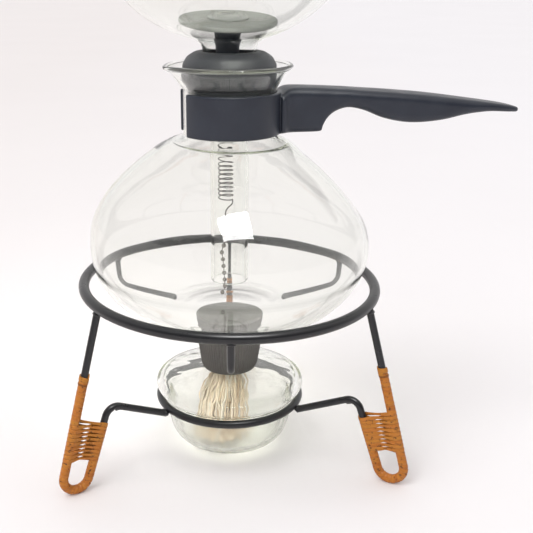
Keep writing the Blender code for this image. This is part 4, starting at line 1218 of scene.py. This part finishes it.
CAMERA_BACK = 0.446
CAMERA_HEIGHT = 0.261
CAMERA_PITCH_DEG = 19.03
CAMERA_LENS = 58.83
CAMERA_SHIFT_X = 0.0694
SURROUND_STRENGTH = 0.91
SURROUND_WHITE = (1.0, 0.985, 0.985)
ROOM_DARK = (0.2, 0.198, 0.21)
KEY_STRENGTH = 1.19
KEY_ANGLE_DEG = 34.0
KEY_DIRECTION = (0.52, 0.42, -1.0)
FILL_PLACE = (-0.35, -1.25, 0.9)
FILL_SIZE = (1.1, 0.8)
FILL_WATTS = 7.5
WINDOW_PLACE = (0.101, -0.427, 0.838)
WINDOW_TARGET = (0.0026, -0.0632, 0.1475)
WINDOW_SIZE = (0.31, 0.26)
WINDOW_WATTS = 5.5
FLOOR_R = 14.0
BOUNCES = 28


def add_light(name, place, target, size, watts):
    """Rectangular soft light aimed at a point; both are given from the object's axis."""
    data = bpy.data.lights.new(name, "AREA")
    data.shape = "RECTANGLE"
    data.size, data.size_y = size
    data.energy = watts
    light = bpy.data.objects.new(name, data)
    bpy.context.scene.collection.objects.link(light)
    light.location = AXIS + Vector(place)
    light.rotation_euler = (AXIS + Vector(target) - light.location).to_track_quat("-Z", "Y").to_euler()
    light.visible_transmission = False
    return light


def make_surround(scene):
    """White studio surround, with a darker room on the camera's side for gloss to mirror."""
    world = bpy.data.worlds.new("surround")
    scene.world = world
    world.use_nodes = True
    tree = world.node_tree
    background = tree.nodes["Background"]
    place = tree.nodes.new("ShaderNodeTexCoord")
    split = add_node(tree, "ShaderNodeSeparateXYZ", [("Vector", place.outputs["Generated"])])
    towards = calculate(tree, "MULTIPLY_ADD", split.outputs["Y"], 0.45)
    above = calculate(tree, "MULTIPLY_ADD", split.outputs["Z"], 0.45)
    shade = ramp(tree, calculate(tree, "SUBTRACT", calculate(tree, "ADD", towards, above), 0.5),
            [(0.36, ROOM_DARK), (0.84, SURROUND_WHITE)])
    path = tree.nodes.new("ShaderNodeLightPath")
    seen = calculate(tree, "MAXIMUM", path.outputs["Is Camera Ray"], path.outputs["Is Transmission Ray"])
    tree.links.new(blend_colors(tree, seen, shade, SURROUND_WHITE), background.inputs["Color"])
    background.inputs["Strength"].default_value = SURROUND_STRENGTH


def make_stage():
    """Camera, soft lights, white surround and pale floor with painted shade towards its left."""
    scene = bpy.context.scene
    data = bpy.data.cameras.new("camera")
    data.lens = CAMERA_LENS
    data.sensor_width = 36.0
    data.shift_x = CAMERA_SHIFT_X
    data.clip_start = 0.01
    data.clip_end = 100.0
    camera = bpy.data.objects.new("camera", data)
    scene.collection.objects.link(camera)
    camera.location = AXIS + Vector((0.0, -CAMERA_BACK, CAMERA_HEIGHT))
    camera.rotation_euler = (math.radians(90.0 - CAMERA_PITCH_DEG), 0.0, 0.0)
    scene.camera = camera

    make_surround(scene)
    fill = add_light("front_fill", FILL_PLACE, (0.0, 0.0, 0.12), FILL_SIZE, FILL_WATTS)
    fill.visible_glossy = False
    window = add_light("front_window", WINDOW_PLACE, WINDOW_TARGET, WINDOW_SIZE, WINDOW_WATTS)
    window.visible_diffuse = False
    data = bpy.data.lights.new("key", "SUN")
    data.energy = KEY_STRENGTH
    data.angle = math.radians(KEY_ANGLE_DEG)
    key = bpy.data.objects.new("key", data)
    scene.collection.objects.link(key)
    key.visible_glossy = False
    key.visible_transmission = False
    key.rotation_euler = Vector(KEY_DIRECTION).to_track_quat("-Z", "Y").to_euler()

    mesh = bmesh.new()
    bmesh.ops.create_circle(mesh, cap_ends=True, segments=96, radius=FLOOR_R)
    floor_data = bpy.data.meshes.new("floor")
    mesh.to_mesh(floor_data)
    mesh.free()
    floor = bpy.data.objects.new("floor", floor_data)
    scene.collection.objects.link(floor)
    material, tree, shader = new_material("pale_floor_painted_shade")
    place = object_place(tree)
    split = add_node(tree, "ShaderNodeSeparateXYZ", [("Vector", place)])
    # The floor's colour grows darker and warmer towards the left: painted shade for light falling off across
    # the backdrop.
    side = calculate(tree, "MULTIPLY_ADD", split.outputs["X"], 0.6)
    sheet = ramp(tree, side, [(0.2, (0.86, 0.82, 0.812)), (0.8, (0.89, 0.872, 0.888))])
    cloud = ramp(tree, grain(tree, place, 3.0, 3.0), [(0.3, 0.985), (0.7, 1.0)])
    tree.links.new(blend_colors(tree, 1.0, sheet, cloud, "MULTIPLY"), shader.inputs["Base Color"])
    shader.inputs["Roughness"].default_value = 0.75
    shader.inputs["Specular IOR Level"].default_value = 0.1
    floor_data.materials.append(material)

    scene.view_settings.view_transform = "Standard"
    scene.view_settings.look = "None"
    scene.cycles.max_bounces = BOUNCES
    scene.cycles.transmission_bounces = BOUNCES
    scene.cycles.glossy_bounces = BOUNCES
    scene.cycles.diffuse_bounces = 4
    scene.cycles.transparent_max_bounces = 32


def main():
    """Everything that shows."""
    make_stage()
    clear = glass_material("glass_clear", (0.988, 0.99, 0.984), (0.68, 0.74, 0.52), 24.0, 0.03)
    thick = glass_material("glass_pressed", (0.99, 0.995, 0.982), (0.76, 0.79, 0.62), 22.0, 0.03, 0.0009,
            85.0, LAMP_HAZE_TOP_Z)
    plastic = moulded_material("handle_plastic", (0.017, 0.0205, 0.032), (0.024, 0.0285, 0.042), 0.32, 0.44,
            0.00004, (0.05, 0.05, 0.055), 0.45)
    make_stand()
    make_pot(clear)
    make_handle(plastic)
    make_funnel(clear)
    make_gasket()
    make_filter()
    make_spring()
    make_chain()
    make_lamp(thick)
    make_wick()
    make_cap()


main()
